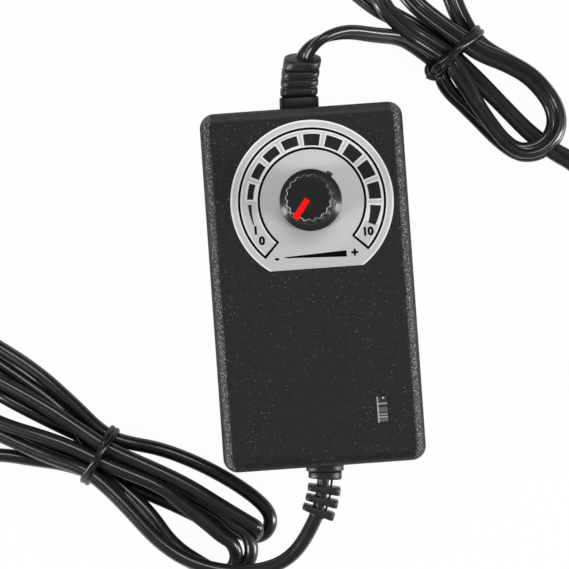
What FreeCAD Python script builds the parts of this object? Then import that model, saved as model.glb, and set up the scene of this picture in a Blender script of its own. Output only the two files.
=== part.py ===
import FreeCAD, Part
import math
import os
from FreeCAD import Vector

# Adjustable power adapter: a two shell housing with a dial on its face, a flat mains cord at one end
# and a round low voltage cord at the other. Millimetres. X runs across the face, Y along the housing
# towards the mains cord, Z up. The origin is the middle of the underside, on the surface it rests on.

# Housing
housing_width = 56.0
housing_length = 98.4
housing_height = 33.0
seam_height = 16.5
wall = 2.2
floor_thickness = 2.2
roof_thickness = 2.2
draft = 0.35
corner_radius = 4.0
top_edge_radius = 3.2
bottom_edge_radius = 1.4
seam_ledge = 0.2
lap_height = 1.6
lap_clearance = 0.1
label_width = 38.0
label_length = 62.0
label_depth = 0.3

# Dial plate
dial_x = 1.4
dial_end_inset = 26.2
plate_radius = 22.0
plate_flat = 18.0
plate_thickness = 0.6
plate_recess = 0.35
plate_clearance = 0.12
plate_corner = 0.8

# Potentiometer
bushing_radius = 3.5
bushing_length = 5.8
bushing_hole_clearance = 0.15
front_plate_thickness = 1.0
tab_distance = 8.55
tab_angle = 54.0
tab_width = 1.4
tab_thickness = 1.2
tab_top_gap = 0.2
shaft_radius = 3.0
shaft_clearance = 0.05
shaft_length = 11.6
collar_radius = 4.0
collar_thickness = 1.2
can_radius = 8.2
can_wall = 0.4
can_height = 6.6
wafer_thickness = 1.0
rotor_radius = 6.6
rotor_thickness = 1.6
wiper_thickness = 0.8
contact_gap = 0.1
washer_radius = 6.0
washer_thickness = 0.4
nut_across_flats = 10.0
nut_thickness = 2.0
thread_clearance = 0.02
terminal_width = 1.2
terminal_thickness = 0.5
terminal_reach = 4.0
terminal_pitch = 4.0
switch_height = 6.6
switch_wall = 0.9
cam_reach = 4.6
cam_thickness = 1.2
arm_length = 9.0
arm_width = 2.4
arm_thickness = 1.0
arm_pin_radius = 0.8
arm_pin_offset = 3.2
arm_closed_angle = 16.0
arm_contact_gap = 0.25
switch_contact_width = 1.0
switch_contact_thickness = 0.6
switch_contact_drop = 3.0
switch_contact_rise = 1.6

# Knob
skirt_radius = 8.35
skirt_rim = 0.9
skirt_rise = 2.0
grip_foot_radius = 6.6
grip_top_radius = 6.15
knob_height = 13.0
knob_gap = 0.75
knob_hollow_radius = 6.0
knob_hollow_depth = 3.0
knob_top_edge = 0.5
flute_count = 18
flute_radius = 0.75
flute_depth = 0.42
bore_clearance = 0.02
pointer_width = 1.25
pointer_inner = 0.6
pointer_depth = 0.7
pointer_side_depth = 1.1
pointer_proud = 0.2
pointer_drop = 7.5
pointer_rest_angle = 236.0

# Indicator
window_side_inset = 11.7
window_end_inset = 15.0
window_width = 2.8
window_length = 7.0
window_clearance = 0.08
window_flange = 0.8
window_flange_thickness = 0.6
window_ridges = 6
window_ridge_width = 0.4
window_ridge_height = 0.2
led_radius = 1.5
led_height = 5.3
led_gap = 0.3
led_leg = 0.5
led_pitch = 1.27

# Circuit board
board_side_gap = 1.5
board_end_gap = 2.8
board_thickness = 1.6
board_height = 5.2
board_corner = 2.0
post_radius = 2.5
post_pin_radius = 1.4
post_hole_clearance = 0.1
post_side_inset = 3.3
post_end_inset = 3.5
post_pin_height = 2.2
rib_size = 3.0
rib_side_inset = 3.4
rib_end_inset = 13.3
rib_gap = 0.1
fit_gap = 0.02

# What the board carries: insets are from its edges, the rest from the transformer or the dial
fuse_radius = 1.7
fuse_length = 10.0
fuse_start = 2.0
fuse_inset = 6.5
fuse_cap_radius = 2.1
fuse_cap_length = 2.6
x_capacitor_size = (13.0, 6.0, 11.5)
x_capacitor_side = 12.8
x_capacitor_inset = 7.0
choke_radius = 5.6
choke_flange = 1.8
choke_core_radius = 2.6
choke_height = 12.0
choke_winding_radius = 4.9
choke_side = 7.7
choke_inset = 16.5
bridge_size = (8.2, 6.4, 3.4)
bridge_x = 1.5
bridge_inset = 16.0
bulk_radius = 6.5
bulk_height = 20.0
bulk_inset = 20.5
output_radius = 5.0
output_height = 16.0
output_from_core = 23.2
output_pitch = 12.0
output_x = -0.5
transformer_x = -1.5
transformer_from_dial = 25.0
core_width = 27.0
core_length = 19.0
core_height = 17.0
core_bar = 5.0
core_leg = 3.6
core_centre_radius = 3.8
core_lift = 2.4
bobbin_radius = 9.0
bobbin_bore = 4.0
bobbin_tube_radius = 4.8
bobbin_cheek = 0.8
bobbin_low = 7.6
bobbin_high = 13.4
foot_width = 20.0
foot_length = 3.0
foot_height = 2.2
foot_reach = 11.5
stand_width = 14.0
winding_radius = 7.9
winding_height = 4.9
package_depth = 4.4
package_width = 10.0
package_body_height = 8.6
package_tab_thickness = 1.2
package_tab_height = 15.0
package_lift = 5.0
package_side = 4.3
package_screw_height = 16.6
heatsink_thickness = 1.6
heatsink_height = 20.0
heatsink_fin = 5.0
heatsink_side = 1.3
primary_heatsink_length = 26.0
primary_from_core = 8.0
transistor_from_core = 10.0
secondary_heatsink_length = 20.0
secondary_inset = 23.5
diode_inset = 23.0
screw_head_radius = 2.5
screw_head_height = 1.8
screw_stem_radius = 1.28
screw_stem_length = 4.0
disc_radius = 4.0
disc_thickness = 2.6
disc_lift = 5.2
disc_side = 10.3
disc_from_core = 12.0
disc_lead_pitch = 5.0
chip_size = (4.0, 5.0, 1.8)
chip_x = 12.5
chip_from_dial = 7.5
optocoupler_size = (6.4, 4.6, 3.6)
optocoupler_side = 10.3
optocoupler_from_core = 15.6
resistor_size = (1.6, 3.2, 0.6)

# Mains strain relief, cord and plug
ac_neck_width = 9.0
ac_neck_height = 6.4
neck_clearance = 0.1
inner_flange_lip = 1.3
inner_flange_thickness = 1.6
inner_flange_gap = 0.12
outer_gap = 0.1
ac_base_width = 10.9
ac_base_height = 8.2
ac_base_length = 3.1
ac_rib_width = 10.3
ac_rib_height = 8.0
ac_rib_thickness = 1.75
ac_rib_pitch = 2.6
ac_cap_length = 3.0
ac_relief_length = 14.7
ac_relief_bend = 32.0
ac_relief_roll = 30.0
ac_core_width = 9.0
ac_core_height = 6.6
ac_cord_diameter = 5.5
ac_tie_x = 46.3
ac_tie_y = 64.1
ac_hank_angle = -46.4
ac_waist_step = 5.95

# Low voltage strain relief, cord and plug
dc_neck_width = 8.0
dc_neck_height = 6.4
dc_flange_width = 10.5
dc_flange_height = 9.2
dc_flange_thickness = 1.7
dc_collar_width = 9.3
dc_collar_height = 8.2
dc_collar_thickness = 2.2
dc_rib_width = 9.2
dc_rib_height = 7.6
dc_rib_thickness = 2.0
dc_rib_pitch = 3.2
dc_rib_count = 3
dc_relief_length = 14.8
dc_relief_bend = 26.5
dc_core_radius = 2.4
dc_web_width = 2.2
dc_cord_diameter = 4.0
dc_tie_x = -63.5
dc_tie_y = -43.5
dc_hank_angle = -29.4
dc_waist_step = 4.55

# Ties
tie_wire = 1.5
tie_gap = 0.3
tie_pitch = 2.0
tie_tail = 5.0
tie_room = 3.0

# Plugs
plug_width = 22.0
plug_thickness = 12.6
plug_length = 27.0
plug_sleeve_length = 11.0
blade_spacing = 12.7
blade_height = 6.35
blade_thickness = 1.5
blade_length = 17.0
blade_hole_radius = 1.6
blade_root = 3.0
dc_handle_radius = 4.6
dc_handle_length = 16.5
dc_sleeve_length = 10.5
barrel_radius = 2.75
barrel_bore = 1.05
barrel_length = 9.5
barrel_collar_radius = 4.0
barrel_collar_length = 1.6
barrel_wall = 0.5
plug_floor_gap = 0.2

roof_inside = housing_height - roof_thickness
board_top = board_height + board_thickness
plate_bottom = housing_height - plate_recess
plate_top = plate_bottom + plate_thickness
knob_bottom = plate_top + knob_gap
grip_lean = math.degrees(math.atan2(grip_foot_radius - grip_top_radius, knob_height - skirt_rim - skirt_rise))
inner_width = housing_width - 2 * wall
inner_length = housing_length - 2 * wall
end_y = housing_length / 2
dial_y = end_y - dial_end_inset
window_x = housing_width / 2 - window_side_inset
window_y = -end_y + window_end_inset
board_width = inner_width - 2 * board_side_gap
board_length = inner_length - 2 * board_end_gap
board_side = board_width / 2
board_end = board_length / 2
post_x = board_side - post_side_inset
post_y = board_end - post_end_inset
rib_x = inner_width / 2 - rib_side_inset
rib_y = inner_length / 2 - rib_end_inset
core_y = dial_y - transformer_from_dial
X_AXIS = Vector(1, 0, 0)
Y_AXIS = Vector(0, 1, 0)
Z_AXIS = Vector(0, 0, 1)

nodes = {}


def block(width, length, height, x, y, z):
    """A box by its plan centre and its bottom."""
    return Part.makeBox(width, length, height, Vector(x - width / 2, y - length / 2, z))


def rod(radius, height, x, y, z, axis=Z_AXIS):
    return Part.makeCylinder(radius, height, Vector(x, y, z), axis)


def pipe_ring(outer, inner, height, x, y, z):
    return rod(outer, height, x, y, z).cut(rod(inner, height + 2, x, y, z - 1))


def upright_edges(shape):
    """Edges whose ends are at different heights."""
    found = []
    for edge in shape.Edges:
        ends = [v.Point for v in edge.Vertexes]
        if len(ends) == 2 and abs(ends[0].z - ends[1].z) > 0.1:
            found.append(edge)
    return found


def level_edges(shape, height):
    return [e for e in shape.Edges if all(abs(v.Point.z - height) < 1e-4 for v in e.Vertexes)]


def soft_block(width, length, height, x, y, z, corner, top=0.0):
    """A box with rounded upright corners and, if asked, a rounded top edge."""
    shape = block(width, length, height, x, y, z)
    shape = shape.makeFillet(corner, upright_edges(shape))
    if top > 0:
        shape = shape.makeFillet(top, level_edges(shape, z + height))
    return shape


def drafted_block(low, high, bottom, top, corner):
    """A tapered box between two plan sizes, its upright corners rounded."""
    rings = []
    for (width, length), z in ((low, bottom), (high, top)):
        a = width / 2
        b = length / 2
        corners = [Vector(a, b, z), Vector(-a, b, z), Vector(-a, -b, z), Vector(a, -b, z)]
        rings.append(Part.makePolygon(corners + corners[:1]))
    shape = Part.makeLoft(rings, True, True)
    return shape.makeFillet(corner, upright_edges(shape))


def rounded_face(width, height, corner, place):
    """A rounded rectangle face in a placed XY plane."""
    a = width / 2 - corner
    b = height / 2 - corner
    edges = []
    centres = [(a, b, 0), (-a, b, 90), (-a, -b, 180), (a, -b, 270)]
    for cx, cy, start in centres:
        points = []
        for step in (0, 45, 90):
            turn = math.radians(start + step)
            points.append(Vector(cx + corner * math.cos(turn), cy + corner * math.sin(turn), 0))
        edges.append(Part.Arc(*points).toShape())
    whole = []
    for index, edge in enumerate(edges):
        whole.append(edge)
        following = edges[(index + 1) % 4]
        start = edge.Vertexes[1].Point
        stop = following.Vertexes[0].Point
        if start.distanceToPoint(stop) > 1e-6:
            whole.append(Part.LineSegment(start, stop).toShape())
    wire = Part.Wire(whole)
    wire.Placement = place
    return Part.Face(wire)


def facing(origin, along, side):
    """A placement whose Z runs along a direction and whose X runs near the side given."""
    z = Vector(along).normalize()
    x = side - z * side.dot(z)
    x.normalize()
    y = z.cross(x)
    turn = FreeCAD.Matrix(x.x, y.x, z.x, origin.x, x.y, y.y, z.y, origin.y, x.z, y.z, z.z, origin.z, 0, 0, 0, 1)
    return FreeCAD.Placement(turn)


def plate_across(width, height, corner, thickness, origin, along, side, edge=0.0):
    """A rounded rectangular plate square to a direction, its middle at the origin."""
    unit = Vector(along).normalize()
    place = facing(origin - unit * (thickness / 2), along, side)
    shape = rounded_face(width, height, corner, place).extrude(unit * thickness)
    if edge > 0:
        rims = []
        for e in shape.Edges:
            offsets = [(v.Point - origin).dot(unit) for v in e.Vertexes]
            if max(offsets) - min(offsets) < 1e-4:
                rims.append(e)
        shape = shape.makeFillet(edge, rims)
    return shape


def arc_between(start, heading, stop):
    """The arc that leaves start along a heading and ends at stop, or a line where it is straight."""
    chord = stop - start
    across = chord - heading * chord.dot(heading)
    if across.Length < 1e-6:
        return Part.LineSegment(start, stop).toShape(), None
    radius = chord.dot(chord) / (2 * across.Length)
    centre = start + across.normalize() * radius
    middle = (start - centre) + (stop - centre)
    middle.normalize()
    return Part.Arc(start, centre + middle * radius, stop).toShape(), radius


def biarc(start, leave, stop, arrive):
    """Two tangent arcs between two points with given headings, and their radii."""
    gap = stop - start
    total = leave + arrive
    slack = 2 * (1 - leave.dot(arrive))
    if slack < 1e-9:
        reach = gap.dot(gap) / (4 * gap.dot(arrive))
    else:
        ahead = gap.dot(total)
        reach = (-ahead + math.sqrt(ahead * ahead + slack * gap.dot(gap))) / slack
    joint = (start + leave * reach + stop - arrive * reach) * 0.5
    heading = (stop - arrive * reach) - (start + leave * reach)
    heading.normalize()
    first, first_radius = arc_between(start, leave, joint)
    second, second_radius = arc_between(joint, heading, stop)
    return [first, second], [r for r in (first_radius, second_radius) if r]


def tube(edges, radius):
    """A round tube along tangent edges."""
    path = Part.Wire(edges)
    start = path.OrderedEdges[0]
    heading = start.tangentAt(start.FirstParameter)
    ring = Part.Wire(Part.Circle(path.OrderedVertexes[0].Point, heading, radius).toShape())
    return path.makePipeShell([ring], True, False)


def free_run(points):
    """Straight runs joined by tangent arcs, each as large as its two runs allow."""
    edges = []
    radii = []
    at = points[0]
    for before, corner, after in zip(points, points[1:], points[2:]):
        run_in = corner - before
        run_out = after - corner
        turn = run_in.getAngle(run_out)
        cut = 0.45 * min(run_in.Length, run_out.Length)
        radius = cut / math.tan(turn / 2)
        unit_in = Vector(run_in).normalize()
        unit_out = Vector(run_out).normalize()
        start = corner - unit_in * cut
        stop = corner + unit_out * cut
        inward = (unit_out - unit_in).normalize()
        middle = corner + inward * (radius / math.cos(turn / 2) - radius)
        edges.append(Part.LineSegment(at, start).toShape())
        edges.append(Part.Arc(start, middle, stop).toShape())
        radii.append(radius)
        at = stop
    edges.append(Part.LineSegment(at, points[-1]).toShape())
    return edges, radii


def cord_stretch(name, points, diameter):
    """A plain tube along a cord's free stretch, with its radii, length and volume printed."""
    edges, radii = free_run(points)
    shape = tube(edges, diameter / 2)
    length = sum(e.Length for e in edges)
    share = shape.Volume / (math.pi * diameter * diameter / 4 * length)
    listed = " ".join("%.0f" % r for r in radii)
    print("%s length %.1f volume share %.4f radii %s" % (name, length, share, listed))
    nodes[name] = shape
    return length


class Hank:
    """The frame of a tied hank: u along it, v across it, z up, with the tie at its middle."""

    def __init__(self, x, y, angle):
        turn = math.radians(angle)
        self.middle = Vector(x, y, 0)
        self.u = Vector(math.cos(turn), math.sin(turn), 0)
        self.v = Vector(-math.sin(turn), math.cos(turn), 0)

    def at(self, u, v, z):
        return self.middle + self.u * u + self.v * v + Z_AXIS * z

    def heading(self, u, v, z=0.0):
        return (self.u * u + self.v * v + Z_AXIS * z).normalize()


def hank_edges(hank, entry, heading, straight, end_u, strands, lobes, waist):
    """One path through every strand. It enters along a heading, strands hold (v, z) at the tie, and each
    lobe holds its reach, v and height on the way out, and v and height on the way back."""
    stations = [(entry, None), (entry + heading * straight, heading)]
    radii = []
    first_way = 1 if heading.dot(hank.u) > 0 else -1
    for index, (v, z) in enumerate(strands):
        way = first_way if index % 2 == 0 else -first_way
        stations.append((hank.at(-way * waist, v, z), hank.heading(way, 0)))
        stations.append((hank.at(way * waist, v, z), hank.heading(way, 0)))
        if index < len(lobes):
            reach, v_out, z_out, v_back, z_back = lobes[index]
            radius = abs(v_out - v_back) / 2
            wide = way * (reach - radius)
            stations.append((hank.at(wide, v_out, z_out), hank.heading(way, 0)))
            turned = hank.heading(0, 1 if v_back > v_out else -1)
            stations.append((hank.at(way * reach, (v_out + v_back) / 2, (z_out + z_back) / 2), turned))
            stations.append((hank.at(wide, v_back, z_back), hank.heading(-way, 0)))
    stations.append((hank.at(end_u, strands[-1][0], strands[-1][1]), None))
    edges = []
    for (a, heading_a), (b, heading_b) in zip(stations, stations[1:]):
        if heading_a is None or heading_b is None:
            edges.append(Part.LineSegment(a, b).toShape())
            continue
        pair, found = biarc(a, heading_a, b, heading_b)
        edges += pair
        radii += found
    return edges, radii


def least_gap(edges, diameter):
    """The least distance between the surfaces of stretches over three diameters apart along the path."""
    points = []
    along = 0.0
    for edge in edges:
        count = max(1, int(edge.Length / 1.0))
        for k in range(count):
            share = k / count
            at = edge.FirstParameter + share * (edge.LastParameter - edge.FirstParameter)
            points.append((edge.valueAt(at), along + share * edge.Length))
        along += edge.Length
    least = 1e9
    where = None
    for i, (a, start) in enumerate(points):
        for b, stop in points[i + 1:]:
            if stop - start < 3 * diameter:
                continue
            if abs(a.x - b.x) < least and abs(a.y - b.y) < least:
                distance = a.distanceToPoint(b)
                if distance < least:
                    least = distance
                    where = (a, b)
    return least - diameter, where


def wound(name, edges, radii, diameter):
    """A hank as one unbroken tube, with its tightest bend and least gap to itself printed."""
    shape = tube(edges, diameter / 2)
    length = sum(e.Length for e in edges)
    gap, where = least_gap(edges, diameter)
    share = shape.Volume / (math.pi * diameter * diameter / 4 * length)
    print("%s length %.1f tightest %.1f least gap %.2f near %s volume share %.4f" % (
        name, length, min(radii), gap, where[0], share))
    nodes[name] = shape
    return length


def belt_edges(hank, circles, radius, pitch, turns, tail):
    """A wire wound tightly round a bundle: circles hold the (v, z) of its corner strands in order."""
    stops = []
    count = len(circles)
    for step in range(count * turns + 1):
        v0, z0 = circles[step % count]
        v1, z1 = circles[(step + 1) % count]
        along = Vector(0, v1 - v0, z1 - z0).normalize()
        out = Vector(0, along.z, -along.y)
        stops.append((v0 + out.y * radius, z0 + out.z * radius, along))
        stops.append((v1 + out.y * radius, z1 + out.z * radius, along))
    first = stops[0]
    last = stops[-1]
    stops[0] = (first[0] - first[2].y * tail, first[1] - first[2].z * tail, first[2])
    stops[-1] = (last[0] + last[2].y * tail, last[1] + last[2].z * tail, last[2])
    lengths = [0.0]
    for (v0, z0, _), (v1, z1, _) in zip(stops, stops[1:]):
        lengths.append(lengths[-1] + math.hypot(v1 - v0, z1 - z0))
    lead = pitch * turns / lengths[-1]
    half = pitch * turns / 2
    points = []
    for (v, z, along), length in zip(stops, lengths):
        heading = (hank.v * along.y + Z_AXIS * along.z + hank.u * lead).normalize()
        points.append((hank.at(length * lead - half, v, z), heading))
    edges = []
    for (a, leave), (b, arrive) in zip(points, points[1:]):
        pair, _ = biarc(a, leave, b, arrive)
        edges += pair
    return edges


def bent_path(start, along, sideways, length, bend):
    """A function giving the point and heading on an arc that starts straight out and bends sideways."""
    radius = length / math.radians(bend)

    def at(distance):
        turn = distance / radius
        point = start + along * (radius * math.sin(turn)) + sideways * (radius * (1 - math.cos(turn)))
        return point, (along * math.cos(turn) + sideways * math.sin(turn)).normalize()

    return at


# Shells

def housing_outer_cover():
    low = (housing_width - 2 * seam_ledge, housing_length - 2 * seam_ledge)
    high = (low[0] - 2 * draft, low[1] - 2 * draft)
    shape = drafted_block(low, high, seam_height, housing_height, corner_radius)
    return shape.makeFillet(top_edge_radius, level_edges(shape, housing_height))


def housing_outer_base():
    low = (housing_width - 2 * draft, housing_length - 2 * draft)
    high = (housing_width, housing_length)
    shape = drafted_block(low, high, 0.0, seam_height, corner_radius)
    return shape.makeFillet(bottom_edge_radius, level_edges(shape, 0.0))


def neck_slots():
    """The openings in both end walls that the strain reliefs sit in."""
    slots = []
    for side, width, height in ((1, ac_neck_width, ac_neck_height), (-1, dc_neck_width, dc_neck_height)):
        place = facing(Vector(0, side * (end_y - wall - 2), seam_height), Y_AXIS * side, X_AXIS)
        face = rounded_face(width + 2 * neck_clearance, height + 2 * neck_clearance, 1.5, place)
        slots.append(face.extrude(Y_AXIS * (side * (wall + 4))))
    return slots


def plate_outline(grow, bottom, height):
    """The dial plate's disc with its flat, as a solid."""
    disc = rod(plate_radius + grow, height, dial_x, dial_y, bottom)
    cutter = block(4 * plate_radius, plate_radius, height + 2, dial_x,
                   dial_y - plate_flat - grow - plate_radius / 2, bottom - 1)
    return disc.cut(cutter)


def tab_block(grow, bottom, height):
    shape = block(tab_thickness + 2 * grow, tab_width + 2 * grow, height, tab_distance, 0, bottom)
    shape.rotate(Vector(0, 0, 0), Z_AXIS, tab_angle)
    shape.translate(Vector(dial_x, dial_y, 0))
    return shape


def make_housing_cover():
    shape = housing_outer_cover()
    cavity = soft_block(inner_width, inner_length, roof_inside - seam_height + 5, 0, 0, seam_height - 5,
                        corner_radius - wall)
    tongue = soft_block(housing_width - wall - 2 * lap_clearance, housing_length - wall - 2 * lap_clearance,
                        lap_height + 1, 0, 0, seam_height - lap_height, corner_radius - wall / 2)
    shape = shape.fuse(tongue).cut(cavity)
    for slot in neck_slots():
        shape = shape.cut(slot)
    shape = shape.cut(plate_outline(plate_clearance, plate_bottom, plate_recess + 1))
    shape = shape.cut(rod(bushing_radius + bushing_hole_clearance, roof_thickness + 2, dial_x, dial_y,
                          roof_inside - 1))
    shape = shape.cut(tab_block(bushing_hole_clearance, roof_inside - 1, roof_thickness + 2))
    shape = shape.cut(block(window_width + 2 * window_clearance, window_length + 2 * window_clearance,
                            roof_thickness + 2, window_x, window_y, roof_inside - 1))
    rib_bottom = board_top + rib_gap
    for sx in (-1, 1):
        for sy in (-1, 1):
            shape = shape.fuse(block(rib_size, rib_size, roof_inside - rib_bottom + 0.5, sx * rib_x, sy * rib_y,
                                     rib_bottom))
    nodes["housing_cover"] = shape.removeSplitter()


def make_housing_base():
    shape = housing_outer_base()
    shape = shape.cut(soft_block(inner_width, inner_length, housing_height, 0, 0, floor_thickness,
                                 corner_radius - wall))
    shape = shape.cut(soft_block(housing_width - wall, housing_length - wall, 2 * lap_height, 0, 0,
                                 seam_height - lap_height - lap_clearance, corner_radius - wall / 2))
    for slot in neck_slots():
        shape = shape.cut(slot)
    shape = shape.cut(soft_block(label_width, label_length, label_depth + 1, 0, 0, -1, 2.0))
    for sx in (-1, 1):
        for sy in (-1, 1):
            shape = shape.fuse(rod(post_radius, board_height - 1, sx * post_x, sy * post_y, 1))
            shape = shape.fuse(rod(post_pin_radius, post_pin_height + 1, sx * post_x, sy * post_y,
                                   board_height - 1))
    nodes["housing_base"] = shape.removeSplitter()


def make_dial_plate():
    shape = plate_outline(0.0, plate_bottom, plate_thickness)
    flat_y = dial_y - plate_flat
    tips = [e for e in upright_edges(shape) if abs(e.Vertexes[0].Point.y - flat_y) < 0.01]
    shape = shape.makeFillet(plate_corner, tips)
    shape = shape.cut(rod(bushing_radius + bushing_hole_clearance, 4, dial_x, dial_y, plate_bottom - 1))
    shape = shape.cut(tab_block(bushing_hole_clearance, plate_bottom - 1, 4))
    nodes["dial_plate"] = shape


# Indicator

def make_indicator():
    top = housing_height + 0.05
    shape = block(window_width, window_length, top - roof_inside, window_x, window_y, roof_inside)
    shape = shape.fuse(block(window_width + 2 * window_flange, window_length + 2 * window_flange,
                             window_flange_thickness, window_x, window_y, roof_inside - window_flange_thickness))
    pitch = window_length / (window_ridges + 1)
    for k in range(window_ridges):
        y = window_y - window_length / 2 + (k + 1) * pitch
        shape = shape.fuse(block(window_width, window_ridge_width, window_ridge_height + 0.2, window_x, y, top - 0.2))
    nodes["indicator_window"] = shape.removeSplitter()
    led_top = roof_inside - window_flange_thickness - led_gap
    led = rod(led_radius, led_height, window_x, window_y, led_top - led_height)
    led = led.makeFillet(led_radius * 0.6, level_edges(led, led_top))
    led = led.fuse(rod(led_radius + 0.4, 1.0, window_x, window_y, led_top - led_height))
    for side in (-1, 1):
        led = led.fuse(block(led_leg, led_leg, led_top - led_height - board_top + 0.5, window_x + side * led_pitch,
                             window_y, board_top))
    nodes["indicator_led"] = led.removeSplitter()


# Potentiometer with its switch

def make_potentiometer():
    front_bottom = roof_inside - front_plate_thickness
    front = rod(can_radius, front_plate_thickness, dial_x, dial_y, front_bottom)
    ear = block(tab_thickness + 1.5, tab_width + 0.8, front_plate_thickness, tab_distance - 0.75, 0, front_bottom)
    ear.rotate(Vector(0, 0, 0), Z_AXIS, tab_angle)
    ear.translate(Vector(dial_x, dial_y, 0))
    front = front.fuse(ear).fuse(tab_block(0.0, front_bottom, knob_bottom - tab_top_gap - front_bottom))
    front = front.fuse(rod(bushing_radius, bushing_length, dial_x, dial_y, roof_inside))
    front = front.cut(rod(shaft_radius + shaft_clearance, 20, dial_x, dial_y, front_bottom - 1))
    nodes["pot_bushing"] = front.removeSplitter()

    nodes["pot_washer"] = pipe_ring(washer_radius, bushing_radius + thread_clearance, washer_thickness,
                                    dial_x, dial_y, plate_top)
    corner = nut_across_flats / 2 / math.cos(math.pi / 6)
    nut_bottom = plate_top + washer_thickness
    ring = [Vector(dial_x + corner * math.cos(k * math.pi / 3), dial_y + corner * math.sin(k * math.pi / 3),
                   nut_bottom) for k in range(7)]
    nut = Part.Face(Part.makePolygon(ring)).extrude(Z_AXIS * nut_thickness)
    nodes["pot_nut"] = nut.cut(rod(bushing_radius + thread_clearance, 9, dial_x, dial_y, nut_bottom - 1))

    can_bottom = front_bottom - can_height
    can = rod(can_radius, can_height, dial_x, dial_y, can_bottom)
    can = can.cut(rod(can_radius - can_wall, can_height, dial_x, dial_y, can_bottom + can_wall))
    can = can.cut(rod(shaft_radius + 0.6, 2, dial_x, dial_y, can_bottom - 1))
    terminal_bottom = can_bottom + can_wall
    slot_width = 2 * terminal_pitch + terminal_width + 1.0
    can = can.cut(block(slot_width, 4, terminal_thickness + wafer_thickness + 0.1, dial_x,
                        dial_y - can_radius, terminal_bottom - 0.05))
    nodes["pot_can"] = can

    terminals = []
    for k in (-1, 0, 1):
        length = 5.0 + terminal_reach
        terminals.append(block(terminal_width, length, terminal_thickness, dial_x + k * terminal_pitch,
                               dial_y - can_radius - terminal_reach + length / 2, terminal_bottom))
    nodes["pot_terminals"] = Part.makeCompound(terminals)

    wafer_bottom = terminal_bottom + terminal_thickness
    nodes["pot_track_wafer"] = pipe_ring(can_radius - can_wall - 0.05, shaft_radius + 0.5, wafer_thickness,
                                         dial_x, dial_y, wafer_bottom)
    wiper_bottom = wafer_bottom + wafer_thickness + contact_gap
    wiper = pipe_ring(4.6, shaft_radius + bore_clearance, wiper_thickness / 2, dial_x, dial_y,
                      wiper_bottom + wiper_thickness / 2)
    finger = block(rotor_radius, 2.4, wiper_thickness / 2, dial_x + rotor_radius / 2, dial_y,
                   wiper_bottom + wiper_thickness / 2)
    finger = finger.fuse(block(1.0, 2.4, wiper_thickness, dial_x + rotor_radius - 0.7, dial_y, wiper_bottom))
    wiper = wiper.fuse(finger).cut(rod(shaft_radius + bore_clearance, 9, dial_x, dial_y, wiper_bottom - 1))
    wiper.rotate(Vector(dial_x, dial_y, 0), Z_AXIS, pointer_rest_angle)
    nodes["pot_wiper"] = wiper.removeSplitter()
    rotor_bottom = wiper_bottom + wiper_thickness
    nodes["pot_rotor"] = pipe_ring(rotor_radius, shaft_radius + bore_clearance, rotor_thickness, dial_x, dial_y,
                                   rotor_bottom)

    switch_bottom = can_bottom - switch_height
    cam_bottom = can_bottom - 1.0 - cam_thickness
    shaft_top = roof_inside + bushing_length + shaft_length - 2.0
    shaft = rod(shaft_radius, shaft_top - cam_bottom, dial_x, dial_y, cam_bottom)
    shaft = shaft.fuse(rod(collar_radius, collar_thickness, dial_x, dial_y, front_bottom - 0.3 - collar_thickness))
    cam = block(cam_reach + 1, 2.0, cam_thickness, dial_x + (cam_reach + 1) / 2, dial_y, cam_bottom)
    cam = cam.makeFillet(0.7, upright_edges(cam))
    cam.rotate(Vector(dial_x, dial_y, 0), Z_AXIS, pointer_rest_angle)
    shaft = shaft.fuse(cam)
    flat = block(4 * shaft_radius, shaft_radius, 7.0, dial_x, dial_y + shaft_radius * 1.25, shaft_top - 7.0)
    nodes["pot_shaft"] = shaft.cut(flat).removeSplitter()

    case = rod(can_radius, switch_height, dial_x, dial_y, switch_bottom)
    case = case.cut(rod(can_radius - switch_wall, switch_height, dial_x, dial_y, switch_bottom + switch_wall))
    pin_y = dial_y - arm_pin_offset
    floor = switch_bottom + switch_wall
    case = case.fuse(rod(arm_pin_radius, arm_thickness + 0.8, dial_x, pin_y, floor - 0.2))
    nodes["switch_case"] = case.removeSplitter()
    arm_bottom = floor + 0.3
    arm = block(arm_length, arm_width, arm_thickness, dial_x, pin_y, arm_bottom)
    arm = arm.makeFillet(arm_width * 0.3, upright_edges(arm))
    arm = arm.cut(rod(arm_pin_radius + shaft_clearance, 4, dial_x, pin_y, arm_bottom - 1))
    nodes["switch_arm"] = arm
    closed = math.radians(arm_closed_angle)
    beyond = arm_contact_gap + switch_contact_thickness / 2
    swung_x = arm_length / 2 * math.cos(closed) - arm_width / 2 * math.sin(closed)
    swung_y = arm_length / 2 * math.sin(closed) + arm_width / 2 * math.cos(closed)
    pivot_y = arm_width / 2 / math.cos(closed)
    contacts = []
    for x, y in ((swung_x, swung_y), (0.0, pivot_y)):
        place = (dial_x + x, pin_y + y + beyond)
        height = switch_contact_drop + switch_wall + switch_contact_rise
        contacts.append(block(switch_contact_width, switch_contact_thickness, height, *place,
                              switch_bottom - switch_contact_drop))
        slot = block(switch_contact_width + 0.04, switch_contact_thickness + 0.04, switch_wall + 2, *place,
                     switch_bottom - 1)
        nodes["switch_case"] = nodes["switch_case"].cut(slot)
    nodes["switch_contacts"] = Part.makeCompound(contacts)


# Knob

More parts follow.
